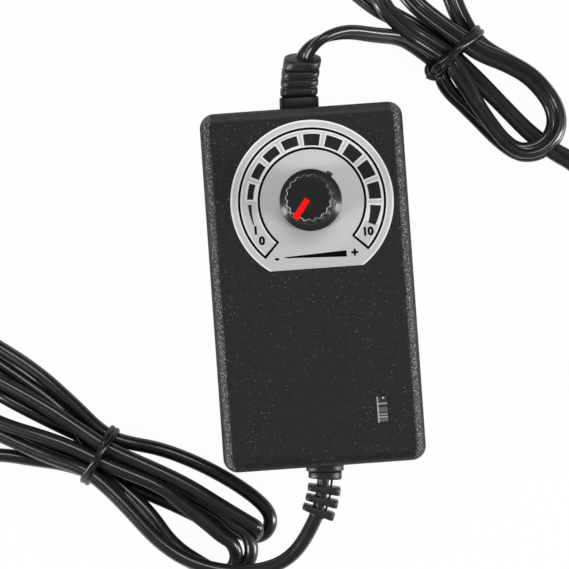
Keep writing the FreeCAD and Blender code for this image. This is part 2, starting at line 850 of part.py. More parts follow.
def pointer_solid(grow):
    """The pointer strip along +X: a bar across the top that turns down the side."""
    top = knob_bottom + knob_height
    width = pointer_width + 2 * grow
    length = grip_top_radius - pointer_inner + pointer_proud
    bar = block(length + grow, width, pointer_depth + pointer_proud + grow, pointer_inner + length / 2 - grow / 2, 0,
                top - pointer_depth - grow)
    outside = grip_top_radius + pointer_proud
    thick = pointer_side_depth + pointer_proud + grow
    side = block(thick, width, pointer_drop + grow, outside - thick / 2, 0, top + pointer_proud - pointer_drop - grow)
    side.rotate(Vector(outside, 0, top + pointer_proud), Y_AXIS, -grip_lean)
    shape = bar.fuse(side).removeSplitter()
    shape.rotate(Vector(0, 0, 0), Z_AXIS, pointer_rest_angle)
    shape.translate(Vector(dial_x, dial_y, 0))
    return shape


def make_knob():
    top = knob_height
    foot = skirt_rim + skirt_rise
    profile = [(0, 0), (skirt_radius, 0), (skirt_radius, skirt_rim), (grip_foot_radius, foot),
               (grip_top_radius, top - knob_top_edge), (grip_top_radius - knob_top_edge, top), (0, top)]
    ring = [Vector(r, 0, z) for r, z in profile]
    face = Part.Face(Part.makePolygon(ring + ring[:1]))
    shape = face.revolve(Vector(0, 0, 0), Z_AXIS, 360)
    for k in range(flute_count):
        distance = grip_foot_radius + flute_radius - flute_depth
        cutter = Part.makeCylinder(flute_radius, top, Vector(distance, 0, foot + 0.2))
        cutter.rotate(Vector(distance, 0, foot), Y_AXIS, -grip_lean)
        cutter.rotate(Vector(0, 0, 0), Z_AXIS, pointer_rest_angle + (k + 0.5) * 360 / flute_count)
        shape = shape.cut(cutter)
    shape = shape.cut(rod(knob_hollow_radius, knob_hollow_depth + 1, 0, 0, -1))
    bore_top = roof_inside + bushing_length + shaft_length - 2.0 + 0.3 - knob_bottom
    shape = shape.cut(rod(shaft_radius + bore_clearance, bore_top, 0, 0, 0))
    shape.translate(Vector(dial_x, dial_y, knob_bottom))
    nodes["knob_body"] = shape.cut(pointer_solid(0.03))
    nodes["knob_pointer"] = pointer_solid(0.0)


# Circuit board and what it carries

def make_circuit_board():
    shape = soft_block(board_width, board_length, board_thickness, 0, 0, board_height, board_corner)
    for sx in (-1, 1):
        for sy in (-1, 1):
            shape = shape.cut(rod(post_pin_radius + post_hole_clearance, 9, sx * post_x, sy * post_y, 0))
    nodes["circuit_board"] = shape


def can_capacitor(radius, height, x, y):
    shape = rod(radius, height, x, y, board_top)
    shape = shape.makeFillet(0.6, level_edges(shape, board_top + height))
    groove = Part.makeTorus(radius + 0.25, 0.55, Vector(x, y, board_top + 1.8))
    return shape.cut(groove)


def make_input_parts():
    fuse_y = board_end - fuse_inset
    fuse_z = board_top + fuse_cap_radius
    nodes["fuse"] = Part.makeCylinder(fuse_radius, fuse_length, Vector(fuse_start, fuse_y, fuse_z), X_AXIS)
    caps = []
    for x in (fuse_start, fuse_start + fuse_length):
        outside = Part.makeCylinder(fuse_cap_radius, fuse_cap_length, Vector(x - fuse_cap_length / 2, fuse_y, fuse_z),
                                    X_AXIS)
        caps.append(outside.cut(nodes["fuse"]))
    nodes["fuse_caps"] = Part.makeCompound(caps)
    nodes["x_capacitor"] = soft_block(*x_capacitor_size[:2], x_capacitor_size[2], -board_side + x_capacitor_side,
                                      board_end - x_capacitor_inset, board_top, 1.0, 0.6)
    choke = (board_side - choke_side, board_end - choke_inset)
    drum = rod(choke_core_radius, choke_height, *choke, board_top)
    for z in (board_top, board_top + choke_height - choke_flange):
        drum = drum.fuse(rod(choke_radius, choke_flange, *choke, z))
    nodes["choke_core"] = drum.removeSplitter()
    nodes["choke_winding"] = pipe_ring(choke_winding_radius, choke_core_radius + fit_gap,
                                       choke_height - 2 * (choke_flange + fit_gap), *choke,
                                       board_top + choke_flange + fit_gap)
    nodes["bridge_rectifier"] = soft_block(*bridge_size, bridge_x, board_end - bridge_inset, board_top, 0.8, 0.4)
    bulk_x = (dial_x - can_radius - board_side) / 2
    nodes["bulk_capacitor"] = can_capacitor(bulk_radius, bulk_height, bulk_x, board_end - bulk_inset)


def tab_package(x, y, face):
    """A power semiconductor standing on its legs, its metal tab towards face along X."""
    tab_x = x + face * (package_depth - package_tab_thickness) / 2
    low = board_top + package_lift
    body = block(package_depth, package_width, package_body_height, x, y, low)
    tab = block(package_tab_thickness, package_width, package_tab_height, tab_x, y, low)
    tab = tab.cut(rod(1.8, 8, tab_x - 4, y, board_top + package_screw_height, X_AXIS))
    shape = body.fuse(tab)
    for k in (-1, 0, 1):
        shape = shape.fuse(block(0.6, 0.9, package_lift + 0.4, x - face * 0.6, y + k * 2.54, board_top))
    return shape.removeSplitter()


def heatsink(side, y, length, hole_y):
    """An upright plate with a foot turned in, drilled for its screw."""
    x = side * (board_side - heatsink_side)
    plate = block(heatsink_thickness, length, heatsink_height, x, y, board_top)
    fin_x = x - side * (heatsink_fin - heatsink_thickness) / 2
    fin_y = y - (length - heatsink_thickness) / 2
    shape = plate.fuse(block(heatsink_fin, heatsink_thickness, heatsink_height, fin_x, fin_y, board_top))
    hole = rod(screw_stem_radius + fit_gap, 8, x - 4, hole_y, board_top + package_screw_height, X_AXIS)
    return shape.cut(hole).removeSplitter()


def make_power_parts():
    core = rod(core_centre_radius, core_height - 2, transformer_x, core_y, board_top + core_lift + 1)
    for z in (core_lift, core_lift + core_height - core_bar):
        core = core.fuse(block(core_width, core_length, core_bar, transformer_x, core_y, board_top + z))
    for side in (-1, 1):
        leg_x = transformer_x + side * (core_width - core_leg) / 2
        core = core.fuse(block(core_leg, core_length, core_height, leg_x, core_y, board_top + core_lift))
    nodes["transformer_core"] = core.removeSplitter()
    tube_height = bobbin_high + bobbin_cheek - bobbin_low
    bobbin = pipe_ring(bobbin_tube_radius, bobbin_bore, tube_height, transformer_x, core_y, board_top + bobbin_low)
    for z in (bobbin_low, bobbin_high):
        bobbin = bobbin.fuse(pipe_ring(bobbin_radius, bobbin_bore, bobbin_cheek, transformer_x, core_y,
                                       board_top + z))
    for side in (-1, 1):
        bobbin = bobbin.fuse(block(foot_width, foot_length, foot_height, transformer_x, core_y + side * foot_reach,
                                   board_top))
        bobbin = bobbin.fuse(block(stand_width, 1.2, bobbin_low - 1.6, transformer_x,
                                   core_y + side * (foot_reach - 1.1), board_top + foot_height - 0.4))
        bobbin = bobbin.fuse(block(stand_width, foot_length + 0.4, bobbin_cheek, transformer_x,
                                   core_y + side * (foot_reach - 2.1), board_top + bobbin_low))
    bobbin = bobbin.cut(rod(bobbin_bore, 20, transformer_x, core_y, board_top)).cut(nodes["transformer_core"])
    nodes["transformer_bobbin"] = bobbin.removeSplitter()
    nodes["transformer_windings"] = pipe_ring(winding_radius, bobbin_tube_radius + 0.05, winding_height,
                                              transformer_x, core_y, board_top + bobbin_low + bobbin_cheek + 0.05)

    transistor_y = core_y + transistor_from_core
    diode_y = -board_end + diode_inset
    nodes["primary_heatsink"] = heatsink(1, core_y + primary_from_core, primary_heatsink_length, transistor_y)
    nodes["secondary_heatsink"] = heatsink(-1, -board_end + secondary_inset, secondary_heatsink_length, diode_y)
    nodes["power_transistor"] = tab_package(board_side - package_side, transistor_y, 1)
    nodes["output_diode"] = tab_package(package_side - board_side, diode_y, -1)
    screws = []
    for y, face in ((transistor_y, 1), (diode_y, -1)):
        inner = face * (board_side - package_side + package_depth / 2 - package_tab_thickness)
        height = board_top + package_screw_height
        head = Part.makeCylinder(screw_head_radius, screw_head_height,
                                 Vector(inner - face * screw_head_height, y, height), X_AXIS * face)
        stem = Part.makeCylinder(screw_stem_radius, screw_stem_length, Vector(inner - face * 0.5, y, height),
                                 X_AXIS * face)
        screws.append(head.fuse(stem).removeSplitter())
    nodes["heatsink_screws"] = Part.makeCompound(screws)
    cans = [can_capacitor(output_radius, output_height, output_x + side * output_pitch / 2, core_y - output_from_core)
            for side in (-1, 1)]
    nodes["output_capacitors"] = Part.makeCompound(cans)


def packaged(size, x, y, legs):
    """A moulded package with its short legs along both sides."""
    width, length, height = size
    body = soft_block(width, length, height - 0.4, x, y, board_top + 0.4, 0.3)
    for k in range(legs):
        at = y + (k - (legs - 1) / 2) * 1.27
        for side in (-1, 1):
            body = body.fuse(block(1.0, 0.45, 0.8, x + side * (width / 2 + 0.2), at, board_top))
    return body.removeSplitter()


def make_small_parts():
    nodes["controller_chip"] = packaged(chip_size, chip_x, dial_y - chip_from_dial, 4)
    nodes["optocoupler"] = packaged(optocoupler_size, optocoupler_side - board_side,
                                    core_y - optocoupler_from_core, 2)
    disc_x = board_side - disc_side
    disc_y = core_y - disc_from_core
    disc = Part.makeCylinder(disc_radius, disc_thickness,
                             Vector(disc_x, disc_y - disc_thickness / 2, board_top + disc_lift), Y_AXIS)
    for side in (-1, 1):
        disc = disc.fuse(block(0.6, 0.6, disc_lift - 1.2, disc_x + side * disc_lead_pitch / 2, disc_y, board_top))
    nodes["y_capacitor"] = disc.removeSplitter()
    spots = [(4.0, dial_y - 5.5), (8.0, dial_y - 3.0), (-5.0, dial_y - 4.0), (board_side - 7.3, -board_end + 23.0),
             (board_side - 3.3, -board_end + 25.0), (board_side - 10.3, -board_end + 16.0),
             (10.3 - board_side, -board_end + 9.5), (output_x, -board_end + 9.5), (12.5, -board_end + 8.0)]
    spots += [(6.3 - board_side, core_y + k) for k in (8.0, 0.0, -6.0)]
    nodes["board_resistors"] = Part.makeCompound([block(*resistor_size, x, y, board_top) for x, y in spots])


def make_wires():
    def wire(points, diameter):
        edges, _ = free_run([Vector(*p) for p in points])
        return tube(edges, diameter / 2)

    pot_wires = []
    terminal_z = roof_inside - front_plate_thickness - can_height + can_wall
    end = dial_y - can_radius - terminal_reach
    for k in (-1, 0, 1):
        x = dial_x + k * terminal_pitch
        top = terminal_z - 0.02
        pot_wires.append(wire([(x, end + 0.8, top), (x, end + 0.8, top - 5.0), (x + k, end + 3.0, top - 11.0),
                               (x + k, end + 3.0, board_top)], 1.2))
    nodes["pot_wires"] = Part.makeCompound(pot_wires)
    inside = end_y - wall - inner_flange_gap - inner_flange_thickness
    ac = [wire([(k * 1.6, inside, seam_height), (k * 1.6, inside - 3.0, seam_height),
                (k * 2.4, inside - 3.8, seam_height - 3.5), (k * 2.4, inside - 3.8, board_top)], 1.8)
          for k in (-1, 1)]
    nodes["ac_inner_wires"] = Part.makeCompound(ac)
    dc = [wire([(k * 1.3, -inside, seam_height), (k * 1.3, -inside + 3.0, seam_height),
                (k * 2.0, -inside + 3.8, seam_height - 3.5), (k * 2.0, -inside + 3.8, board_top)], 1.6)
          for k in (-1, 1)]
    nodes["dc_inner_wires"] = Part.makeCompound(dc)


# Strain reliefs

def relief_root(side, width, height, base_start):
    """What both strain reliefs share: the flange inside the wall and the neck through it."""
    inner_y = side * (end_y - wall - inner_flange_gap - inner_flange_thickness / 2)
    along = Y_AXIS * side
    flange = plate_across(width + 2 * inner_flange_lip, height + 2 * inner_flange_lip, 1.8,
                          inner_flange_thickness, Vector(0, inner_y, seam_height), along, X_AXIS)
    start = end_y - wall - inner_flange_gap - 0.5
    middle = side * (start + base_start + 0.5) / 2
    neck = plate_across(width, height, 1.4, base_start + 0.5 - start, Vector(0, middle, seam_height), along, X_AXIS)
    return flange.fuse(neck)


def make_ac_relief():
    start = end_y + outer_gap
    roll = math.radians(ac_relief_roll)
    sideways = Vector(math.sin(roll), 0, math.cos(roll))
    path = bent_path(Vector(0, start, seam_height), Y_AXIS, sideways, ac_relief_length, ac_relief_bend)
    shape = relief_root(1, ac_neck_width, ac_neck_height, start)
    shape = shape.fuse(plate_across(ac_base_width, ac_base_height, 2.0, ac_base_length,
                                    Vector(0, start + ac_base_length / 2, seam_height), Y_AXIS, X_AXIS, 0.3))
    cap_middle = ac_relief_length - ac_cap_length / 2
    for k in range(3):
        point, along = path(cap_middle - ac_cap_length / 2 - ac_rib_pitch * (k + 0.5) - 0.1)
        shape = shape.fuse(plate_across(ac_rib_width, ac_rib_height, 2.2, ac_rib_thickness, point, along, X_AXIS,
                                        0.35))
    begin, _ = path(0.0)
    radius = ac_relief_length / math.radians(ac_relief_bend)
    core = rounded_face(ac_core_width, ac_core_height, 2.0, facing(begin, Y_AXIS, X_AXIS))
    core_bend = ac_relief_bend * (ac_relief_length - ac_cap_length / 2) / ac_relief_length
    shape = shape.fuse(core.revolve(begin + sideways * radius, Y_AXIS.cross(sideways), core_bend))
    point, along = path(cap_middle)
    shape = shape.fuse(plate_across(ac_rib_width, ac_rib_height, 2.4, ac_cap_length, point, along, X_AXIS, 0.5))
    nodes["ac_strain_relief"] = shape.removeSplitter()
    return point + along * (ac_cap_length / 2), along


def make_dc_relief():
    start = end_y + outer_gap
    down = Y_AXIS * -1
    path = bent_path(Vector(0, -start, seam_height), down, X_AXIS * -1, dc_relief_length, dc_relief_bend)
    shape = relief_root(-1, dc_neck_width, dc_neck_height, start)
    shape = shape.fuse(plate_across(dc_flange_width, dc_flange_height, 2.2, dc_flange_thickness,
                                    Vector(0, -start - dc_flange_thickness / 2, seam_height), down, X_AXIS, 0.3))
    point, along = path(dc_flange_thickness + dc_collar_thickness / 2)
    shape = shape.fuse(plate_across(dc_collar_width, dc_collar_height, 2.2, dc_collar_thickness + 0.2, point,
                                    along, X_AXIS, 0.3))
    first = dc_flange_thickness + dc_collar_thickness + 1.1 + dc_rib_thickness / 2
    for k in range(dc_rib_count):
        point, along = path(first + k * dc_rib_pitch)
        shape = shape.fuse(plate_across(dc_rib_width, dc_rib_height, 2.0, dc_rib_thickness, point, along, X_AXIS,
                                        0.4))
    turn = math.radians(dc_relief_bend)
    radius = dc_relief_length / turn
    middle, _ = path(dc_relief_length / 2)
    stop, _ = path(dc_relief_length)
    begin, _ = path(0.0)
    core = tube([Part.Arc(begin, middle, stop).toShape()], dc_core_radius)
    web_place = facing(begin, down, X_AXIS)
    web_face = rounded_face(dc_web_width, 2 * dc_core_radius + 1.2, 0.4, web_place)
    web = web_face.revolve(Vector(-radius, -start, seam_height), Z_AXIS, -dc_relief_bend * 0.93)
    shape = shape.fuse(core).fuse(web)
    nodes["dc_strain_relief"] = shape.removeSplitter()
    return path(dc_relief_length)


# Cords: the points of each free stretch are chosen by hand along the route

def make_ac_cord(relief_end, relief_heading):
    radius = ac_cord_diameter / 2
    hank = Hank(ac_tie_x, ac_tie_y, ac_hank_angle)
    low = tie_wire + tie_gap + radius + 0.05
    high = low + ac_waist_step
    floor = radius + 0.05
    over = floor + ac_waist_step + 0.1
    top = over + ac_waist_step + 0.1
    step = ac_waist_step
    strands = [(-step, low), (step, low), (-step / 2, high), (step / 2, high), (0.0, low)]
    lobes = [(41.6, -13.6, over, 10.6, over), (75.0, 18.0, floor, -5.6, over + 0.8),
             (37.8, -10.6, top, 7.4, top), (68.0, 7.4, floor, -10.6, floor)]
    entry = hank.at(-19.0, -12.8, 10.4)
    heading = hank.heading(0.85, 0.42, -0.34)
    edges, radii = hank_edges(hank, entry, heading, ac_cord_diameter, 9.0, strands, lobes, tie_room)
    coiled = wound("ac_cord_hank", edges, radii, ac_cord_diameter)
    circles = [(-step, low), (step, low), (step / 2, high), (-step / 2, high)]
    belt = belt_edges(hank, circles, radius + tie_gap + tie_wire / 2, tie_pitch, 2, tie_tail)
    nodes["ac_tie"] = tube(belt, tie_wire / 2)

    lead = [relief_end, relief_end + relief_heading * 4.4, Vector(8.2, 71.0, 23.0), Vector(14.6, 71.2, 20.8),
            entry - heading * 7.0, entry]
    length = cord_stretch("ac_cord_lead", lead, ac_cord_diameter)
    exit_point = hank.at(9.0, 0.0, low)
    plug_mouth = Vector(88.2, -5.0, plug_thickness / 2)
    tail = [exit_point, hank.at(18.0, 0.0, low), hank.at(32.0, -0.4, floor), Vector(76.6, 29.4, floor),
            Vector(82.8, 20.6, floor + 0.3), Vector(86.7, 12.0, 4.6), Vector(plug_mouth.x, 3.2, plug_mouth.z),
            plug_mouth]
    length += cord_stretch("ac_cord_tail", tail, ac_cord_diameter)
    print("mains cord length %.0f" % (length + coiled))
    return plug_mouth


def make_dc_cord(relief_end, relief_heading):
    radius = dc_cord_diameter / 2
    hank = Hank(dc_tie_x, dc_tie_y, dc_hank_angle)
    low = tie_wire + tie_gap + radius + 0.05
    high = low + dc_waist_step + 0.05
    floor = radius + 0.05
    upper = floor + dc_waist_step + 0.1
    step = dc_waist_step
    strands = [(-1.3 * step, high), (step, high), (-0.1 * step, high), (step / 2, low), (-step / 2, low),
               (1.5 * step, low), (-1.5 * step, low)]
    lobes = [(72.0, -7.0, upper, 12.0, upper), (49.6, 2.9, upper, -8.4, upper),
             (69.0, -2.6, floor, 9.6, floor), (46.2, -1.8, floor, -12.6, floor),
             (74.0, -9.0, floor, 15.0, floor), (52.0, 9.2, floor, -18.0, floor)]
    entry = hank.at(18.0, -10.4, high + 1.0)
    heading = hank.heading(-0.91, 0.40, -0.05)
    edges, radii = hank_edges(hank, entry, heading, dc_cord_diameter, -9.0, strands, lobes, tie_room)
    coiled = wound("dc_cord_hank", edges, radii, dc_cord_diameter)
    circles = [(-1.5 * step, low), (1.5 * step, low), (step, high), (-1.3 * step, high)]
    belt = belt_edges(hank, circles, radius + tie_gap + tie_wire / 2, tie_pitch, 2, tie_tail)
    nodes["dc_tie"] = tube(belt, tie_wire / 2)

    lead = [relief_end, relief_end + relief_heading * 5.5, Vector(-12.0, -75.6, 15.4), Vector(-20.5, -78.3, 14.0),
            Vector(-31.0, -78.0, 12.4), Vector(-41.0, -73.8, 11.2), entry - heading * 7.0, entry]
    length = cord_stretch("dc_cord_lead", lead, dc_cord_diameter)
    exit_point = hank.at(-9.0, strands[-1][0], low)
    plug_z = dc_handle_radius + plug_floor_gap
    plug_v = -15.4
    plug_mouth = hank.at(-39.0, plug_v, plug_z)
    tail = [exit_point, hank.at(-16.0, strands[-1][0], low), hank.at(-25.0, -11.0, floor + 0.5),
            hank.at(-31.5, plug_v, plug_z), plug_mouth]
    length += cord_stretch("dc_cord_tail", tail, dc_cord_diameter)
    print("low voltage cord length %.0f" % (length + coiled))
    return plug_mouth, hank


# Plugs

def make_ac_plug(mouth):
    down = Y_AXIS * -1
    x, y, z = mouth.x, mouth.y, mouth.z
    core_radius = ac_cord_diameter / 2 + 0.6
    sleeve = Part.makeCylinder(core_radius, plug_sleeve_length + 1, mouth, down)
    for k in range(4):
        at = Vector(x, y - 1.6 - k * 2.5, z)
        sleeve = sleeve.fuse(plate_across(9.4, 7.6, 1.8, 1.5, at, down, X_AXIS, 0.3))
    body_y = y - plug_sleeve_length - plug_length / 2
    body = plate_across(plug_width, plug_thickness, 3.0, plug_length, Vector(x, body_y, z), down, X_AXIS, 1.4)
    shoulder = plate_across(plug_width - 8, plug_thickness - 2.4, 2.6, 4.0,
                            Vector(x, y - plug_sleeve_length + 0.5, z), down, X_AXIS, 1.0)
    shape = body.fuse(shoulder).fuse(sleeve)
    face_y = y - plug_sleeve_length - plug_length
    blades = []
    for side in (-1, 1):
        slot = block(blade_thickness + 0.02, blade_root + 1, blade_height + 0.02, x + side * blade_spacing / 2,
                     face_y + (blade_root - 1) / 2, z - blade_height / 2 - 0.01)
        shape = shape.cut(slot)
        blade = block(blade_thickness, blade_length + blade_root, blade_height, x + side * blade_spacing / 2,
                      face_y + blade_root - (blade_length + blade_root) / 2, z - blade_height / 2)
        tip = face_y - blade_length
        corners = [e for e in blade.Edges if all(abs(v.Point.y - tip) < 1e-4 for v in e.Vertexes)
                   and e.Length < 2]
        blade = blade.makeFillet(1.8, corners)
        hole = Part.makeCylinder(blade_hole_radius, 8, Vector(x + side * blade_spacing / 2 - 4, tip + 4.2, z), X_AXIS)
        blades.append(blade.cut(hole))
    nodes["ac_plug_body"] = shape.removeSplitter()
    nodes["ac_plug_blades"] = Part.makeCompound(blades)


def make_dc_plug(mouth, hank):
    along = hank.u * -1
    sleeve = Part.makeCone(dc_cord_diameter / 2 + 0.5, dc_handle_radius - 1.2, dc_sleeve_length, mouth, along)
    for k in range(3):
        at = mouth + along * (2.0 + k * 2.6)
        sleeve = sleeve.fuse(Part.makeCylinder(3.4 + k * 0.3, 1.3, at, along))
    start = mouth + along * dc_sleeve_length
    handle = Part.makeCylinder(dc_handle_radius, dc_handle_length, start, along)
    handle = handle.makeFillet(1.0, [e for e in handle.Edges if len(e.Vertexes) == 1])
    shape = sleeve.fuse(handle)
    face = start + along * dc_handle_length
    root = 4.0
    shape = shape.cut(Part.makeCylinder(barrel_radius + 0.01, root + 1, face - along * root, along))
    barrel = Part.makeCylinder(barrel_radius, barrel_length + root, face - along * root, along)
    barrel = barrel.fuse(Part.makeCylinder(barrel_collar_radius, barrel_collar_length, face + along * 0.02, along))
    tip = face + along * barrel_length
    inner = barrel_radius - barrel_wall
    barrel = barrel.cut(Part.makeCylinder(inner, barrel_length + root, tip - along * (barrel_length + root - 1),
                                          along))
    nodes["dc_plug_barrel"] = barrel.removeSplitter()
    insulator = Part.makeCylinder(inner - 0.02, barrel_length + root - 1.2, face - along * (root - 1.1), along)
    bore = Part.makeCylinder(barrel_bore, barrel_length + 1, face + along * 0.5, along)
    nodes["dc_plug_insulator"] = insulator.cut(bore)
    nodes["dc_plug_body"] = shape.removeSplitter()


make_housing_cover()
make_housing_base()
make_dial_plate()
make_indicator()
make_potentiometer()
make_knob()
make_circuit_board()
make_input_parts()
make_power_parts()
make_small_parts()
make_wires()
ac_end, ac_heading = make_ac_relief()
dc_end, dc_heading = make_dc_relief()
make_ac_plug(make_ac_cord(ac_end, ac_heading))
make_dc_plug(*make_dc_cord(dc_end, dc_heading))

os.makedirs("parts", exist_ok=True)
for name, shape in nodes.items():
    if not shape.isValid():
        print("not valid", name)
    shape.exportStep("parts/" + name + ".step")
print(len(nodes), "nodes")
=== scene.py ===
import math
import bpy
from mathutils import Vector, Matrix


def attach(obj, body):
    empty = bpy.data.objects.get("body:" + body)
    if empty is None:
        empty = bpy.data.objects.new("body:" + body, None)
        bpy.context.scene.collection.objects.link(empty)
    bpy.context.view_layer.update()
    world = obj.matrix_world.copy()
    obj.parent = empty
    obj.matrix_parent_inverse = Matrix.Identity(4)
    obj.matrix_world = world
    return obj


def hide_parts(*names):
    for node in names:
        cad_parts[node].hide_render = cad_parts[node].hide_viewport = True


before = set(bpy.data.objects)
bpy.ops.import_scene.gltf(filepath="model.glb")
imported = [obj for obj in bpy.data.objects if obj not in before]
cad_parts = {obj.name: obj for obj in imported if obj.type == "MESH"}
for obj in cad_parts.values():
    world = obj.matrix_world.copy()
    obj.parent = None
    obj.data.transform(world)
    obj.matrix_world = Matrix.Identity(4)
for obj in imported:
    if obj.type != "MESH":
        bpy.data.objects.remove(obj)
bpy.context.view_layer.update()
scene = bpy.context.scene
scene.view_settings.view_transform = "Standard"
mm = 0.001


# Camera, lamps and table. The photographer stood straight above the adapter with a long lens,
# in a white tent with a window of light on each side, and the sheet of paper burned out to white.

camera = bpy.data.objects.new("camera", bpy.data.cameras.new("camera"))
camera.data.sensor_width = 36.0
camera.data.lens = 36.0 * 3.155
camera.data.clip_start = 0.01
camera.location = (-7.6 * mm, 1.24 * mm, 516.5 * mm)
camera.rotation_euler = (0, 0, math.radians(-4.1))
scene.collection.objects.link(camera)
scene.camera = camera


class Value:
    """A shader socket that takes Python's arithmetic, adding Math nodes to its own material."""

    def __init__(self, tree, socket):
        self.tree = tree
        self.socket = socket

    def maths(self, operation, first, second):
        node = self.tree.nodes.new("ShaderNodeMath")
        node.operation = operation
        for place, given in zip(node.inputs, (first, second)):
            if isinstance(given, Value):
                self.tree.links.new(given.socket, place)
            else:
                place.default_value = given
        return Value(self.tree, node.outputs[0])

    def __add__(self, other):
        return self.maths("ADD", self, other)

    def __radd__(self, other):
        return self.maths("ADD", other, self)

    def __sub__(self, other):
        return self.maths("SUBTRACT", self, other)

    def __rsub__(self, other):
        return self.maths("SUBTRACT", other, self)

    def __mul__(self, other):
        return self.maths("MULTIPLY", self, other)

    def __mod__(self, other):
        return self.maths("FLOORED_MODULO", self, other)

    def __abs__(self):
        return self.maths("ABSOLUTE", self, 0.0)

    def __gt__(self, other):
        return self.maths("GREATER_THAN", self, other)

    def __lt__(self, other):
        return self.maths("LESS_THAN", self, other)


class Finish:
    """One material of the adapter, built on a Principled shader."""

    def __init__(self, name, colour, roughness, metallic=0.0, **fixed):
        self.material = bpy.data.materials.new(name)
        self.material.use_nodes = True
        self.tree = self.material.node_tree
        self.shader = self.tree.nodes["Principled BSDF"]
        self.set("Base Color", (*colour, 1.0))
        self.set("Roughness", roughness)
        self.set("Metallic", metallic)
        for socket, number in fixed.items():
            self.set(socket.replace("_", " "), number)
        self.place = self.node("ShaderNodeTexCoord", out="Object")

    def set(self, socket, value):
        place = self.shader.inputs[socket]
        if isinstance(value, Value):
            self.tree.links.new(value.socket, place)
        else:
            place.default_value = value

    def node(self, kind, settings=None, sockets=None, out=0):
        node = self.tree.nodes.new(kind)
        for name, value in (settings or {}).items():
            setattr(node, name, value)
        for name, value in (sockets or {}).items():
            if isinstance(value, Value):
                self.tree.links.new(value.socket, node.inputs[name])
            else:
                node.inputs[name].default_value = value
        return Value(self.tree, node.outputs[out])

    def noise(self, scale, detail=2.0, roughness=0.5):
        return self.node("ShaderNodeTexNoise", None, {"Vector": self.place, "Scale": scale, "Detail": detail,
                                                      "Roughness": roughness}, "Fac")

    def ramp(self, value, low, high):
        """0 where the value is low, 1 where it is high, and in between between them; low may be the larger."""
        return self.node("ShaderNodeMapRange", {"clamp": True}, {"Value": value, "From Min": low, "From Max": high})

    def mix(self, share, first, second):
        """A colour between two colours, which are sockets 6 and 7 of Mix and leave it by socket 2."""
        return self.node("ShaderNodeMix", {"data_type": "RGBA"}, {0: share, 6: first, 7: second}, 2)

    def axis(self, vector, name):
        return self.node("ShaderNodeSeparateXYZ", None, {"Vector": vector}, name)

    def bump(self, height, distance, strength=1.0):
        self.set("Normal", self.node("ShaderNodeBump", None, {"Height": height, "Distance": distance,
                                                              "Strength": strength}))

    def dress(self, *objects):
        for obj in objects:
            if isinstance(obj, str):
                obj = bpy.data.objects[obj]
            if not obj.material_slots:
                obj.data.materials.append(self.material)
            for slot in obj.material_slots:
                slot.material = self.material


paper = Finish("white_paper", (0.85, 0.85, 0.85), 0.8)
paper_seen = paper.node("ShaderNodeLightPath", out="Is Camera Ray")
paper_gloss = paper.node("ShaderNodeLightPath", out="Is Glossy Ray")
paper_glow = paper.node("ShaderNodeEmission", None, {"Color": (1, 1, 1, 1), "Strength": 1.0})
paper_mixed = paper.node("ShaderNodeMixShader", None, {0: paper_seen * 0.97 + paper_gloss * 0.15,
                                                       1: Value(paper.tree, paper.shader.outputs[0]), 2: paper_glow})
paper.tree.links.new(paper_mixed.socket, paper.tree.nodes["Material Output"].inputs["Surface"])
sheet_mesh = bpy.data.meshes.new("paper_sheet")
sheet_mesh.from_pydata([(-3, -3, -0.0003), (3, -3, -0.0003), (3, 3, -0.0003), (-3, 3, -0.0003)], [], [(0, 1, 2, 3)])
paper_sheet = bpy.data.objects.new("paper_sheet", sheet_mesh)
scene.collection.objects.link(paper_sheet)
paper.dress(paper_sheet)

tent = bpy.data.worlds.new("tent")
tent.use_nodes = True
scene.world = tent
tent_light = tent.node_tree.nodes["Background"]
tent_light.inputs["Color"].default_value = (1.0, 1.0, 1.0, 1.0)
tent_light.inputs["Strength"].default_value = 0.16


def lamp(name, place, aim, size, power):
    light = bpy.data.lights.new(name, "AREA")
    light.shape = "RECTANGLE"
    light.size, light.size_y = size
    light.energy = power
    lamp_object = bpy.data.objects.new(name, light)
    lamp_object.location = place
    lamp_object.rotation_euler = (Vector(aim) - Vector(place)).to_track_quat("-Z", "Y").to_euler()
    scene.collection.objects.link(lamp_object)


lamp("window_right", (0.55, -0.14, 0.27), (0.0, 0.0, 0.02), (0.16, 0.60), 4.2)
lamp("window_left", (-0.55, -0.14, 0.25), (0.0, 0.0, 0.02), (0.16, 0.60), 3.8)
lamp("window_above", (0.05, 0.40, 0.85), (0.0, 0.0, 0.0), (0.45, 0.25), 1.7)
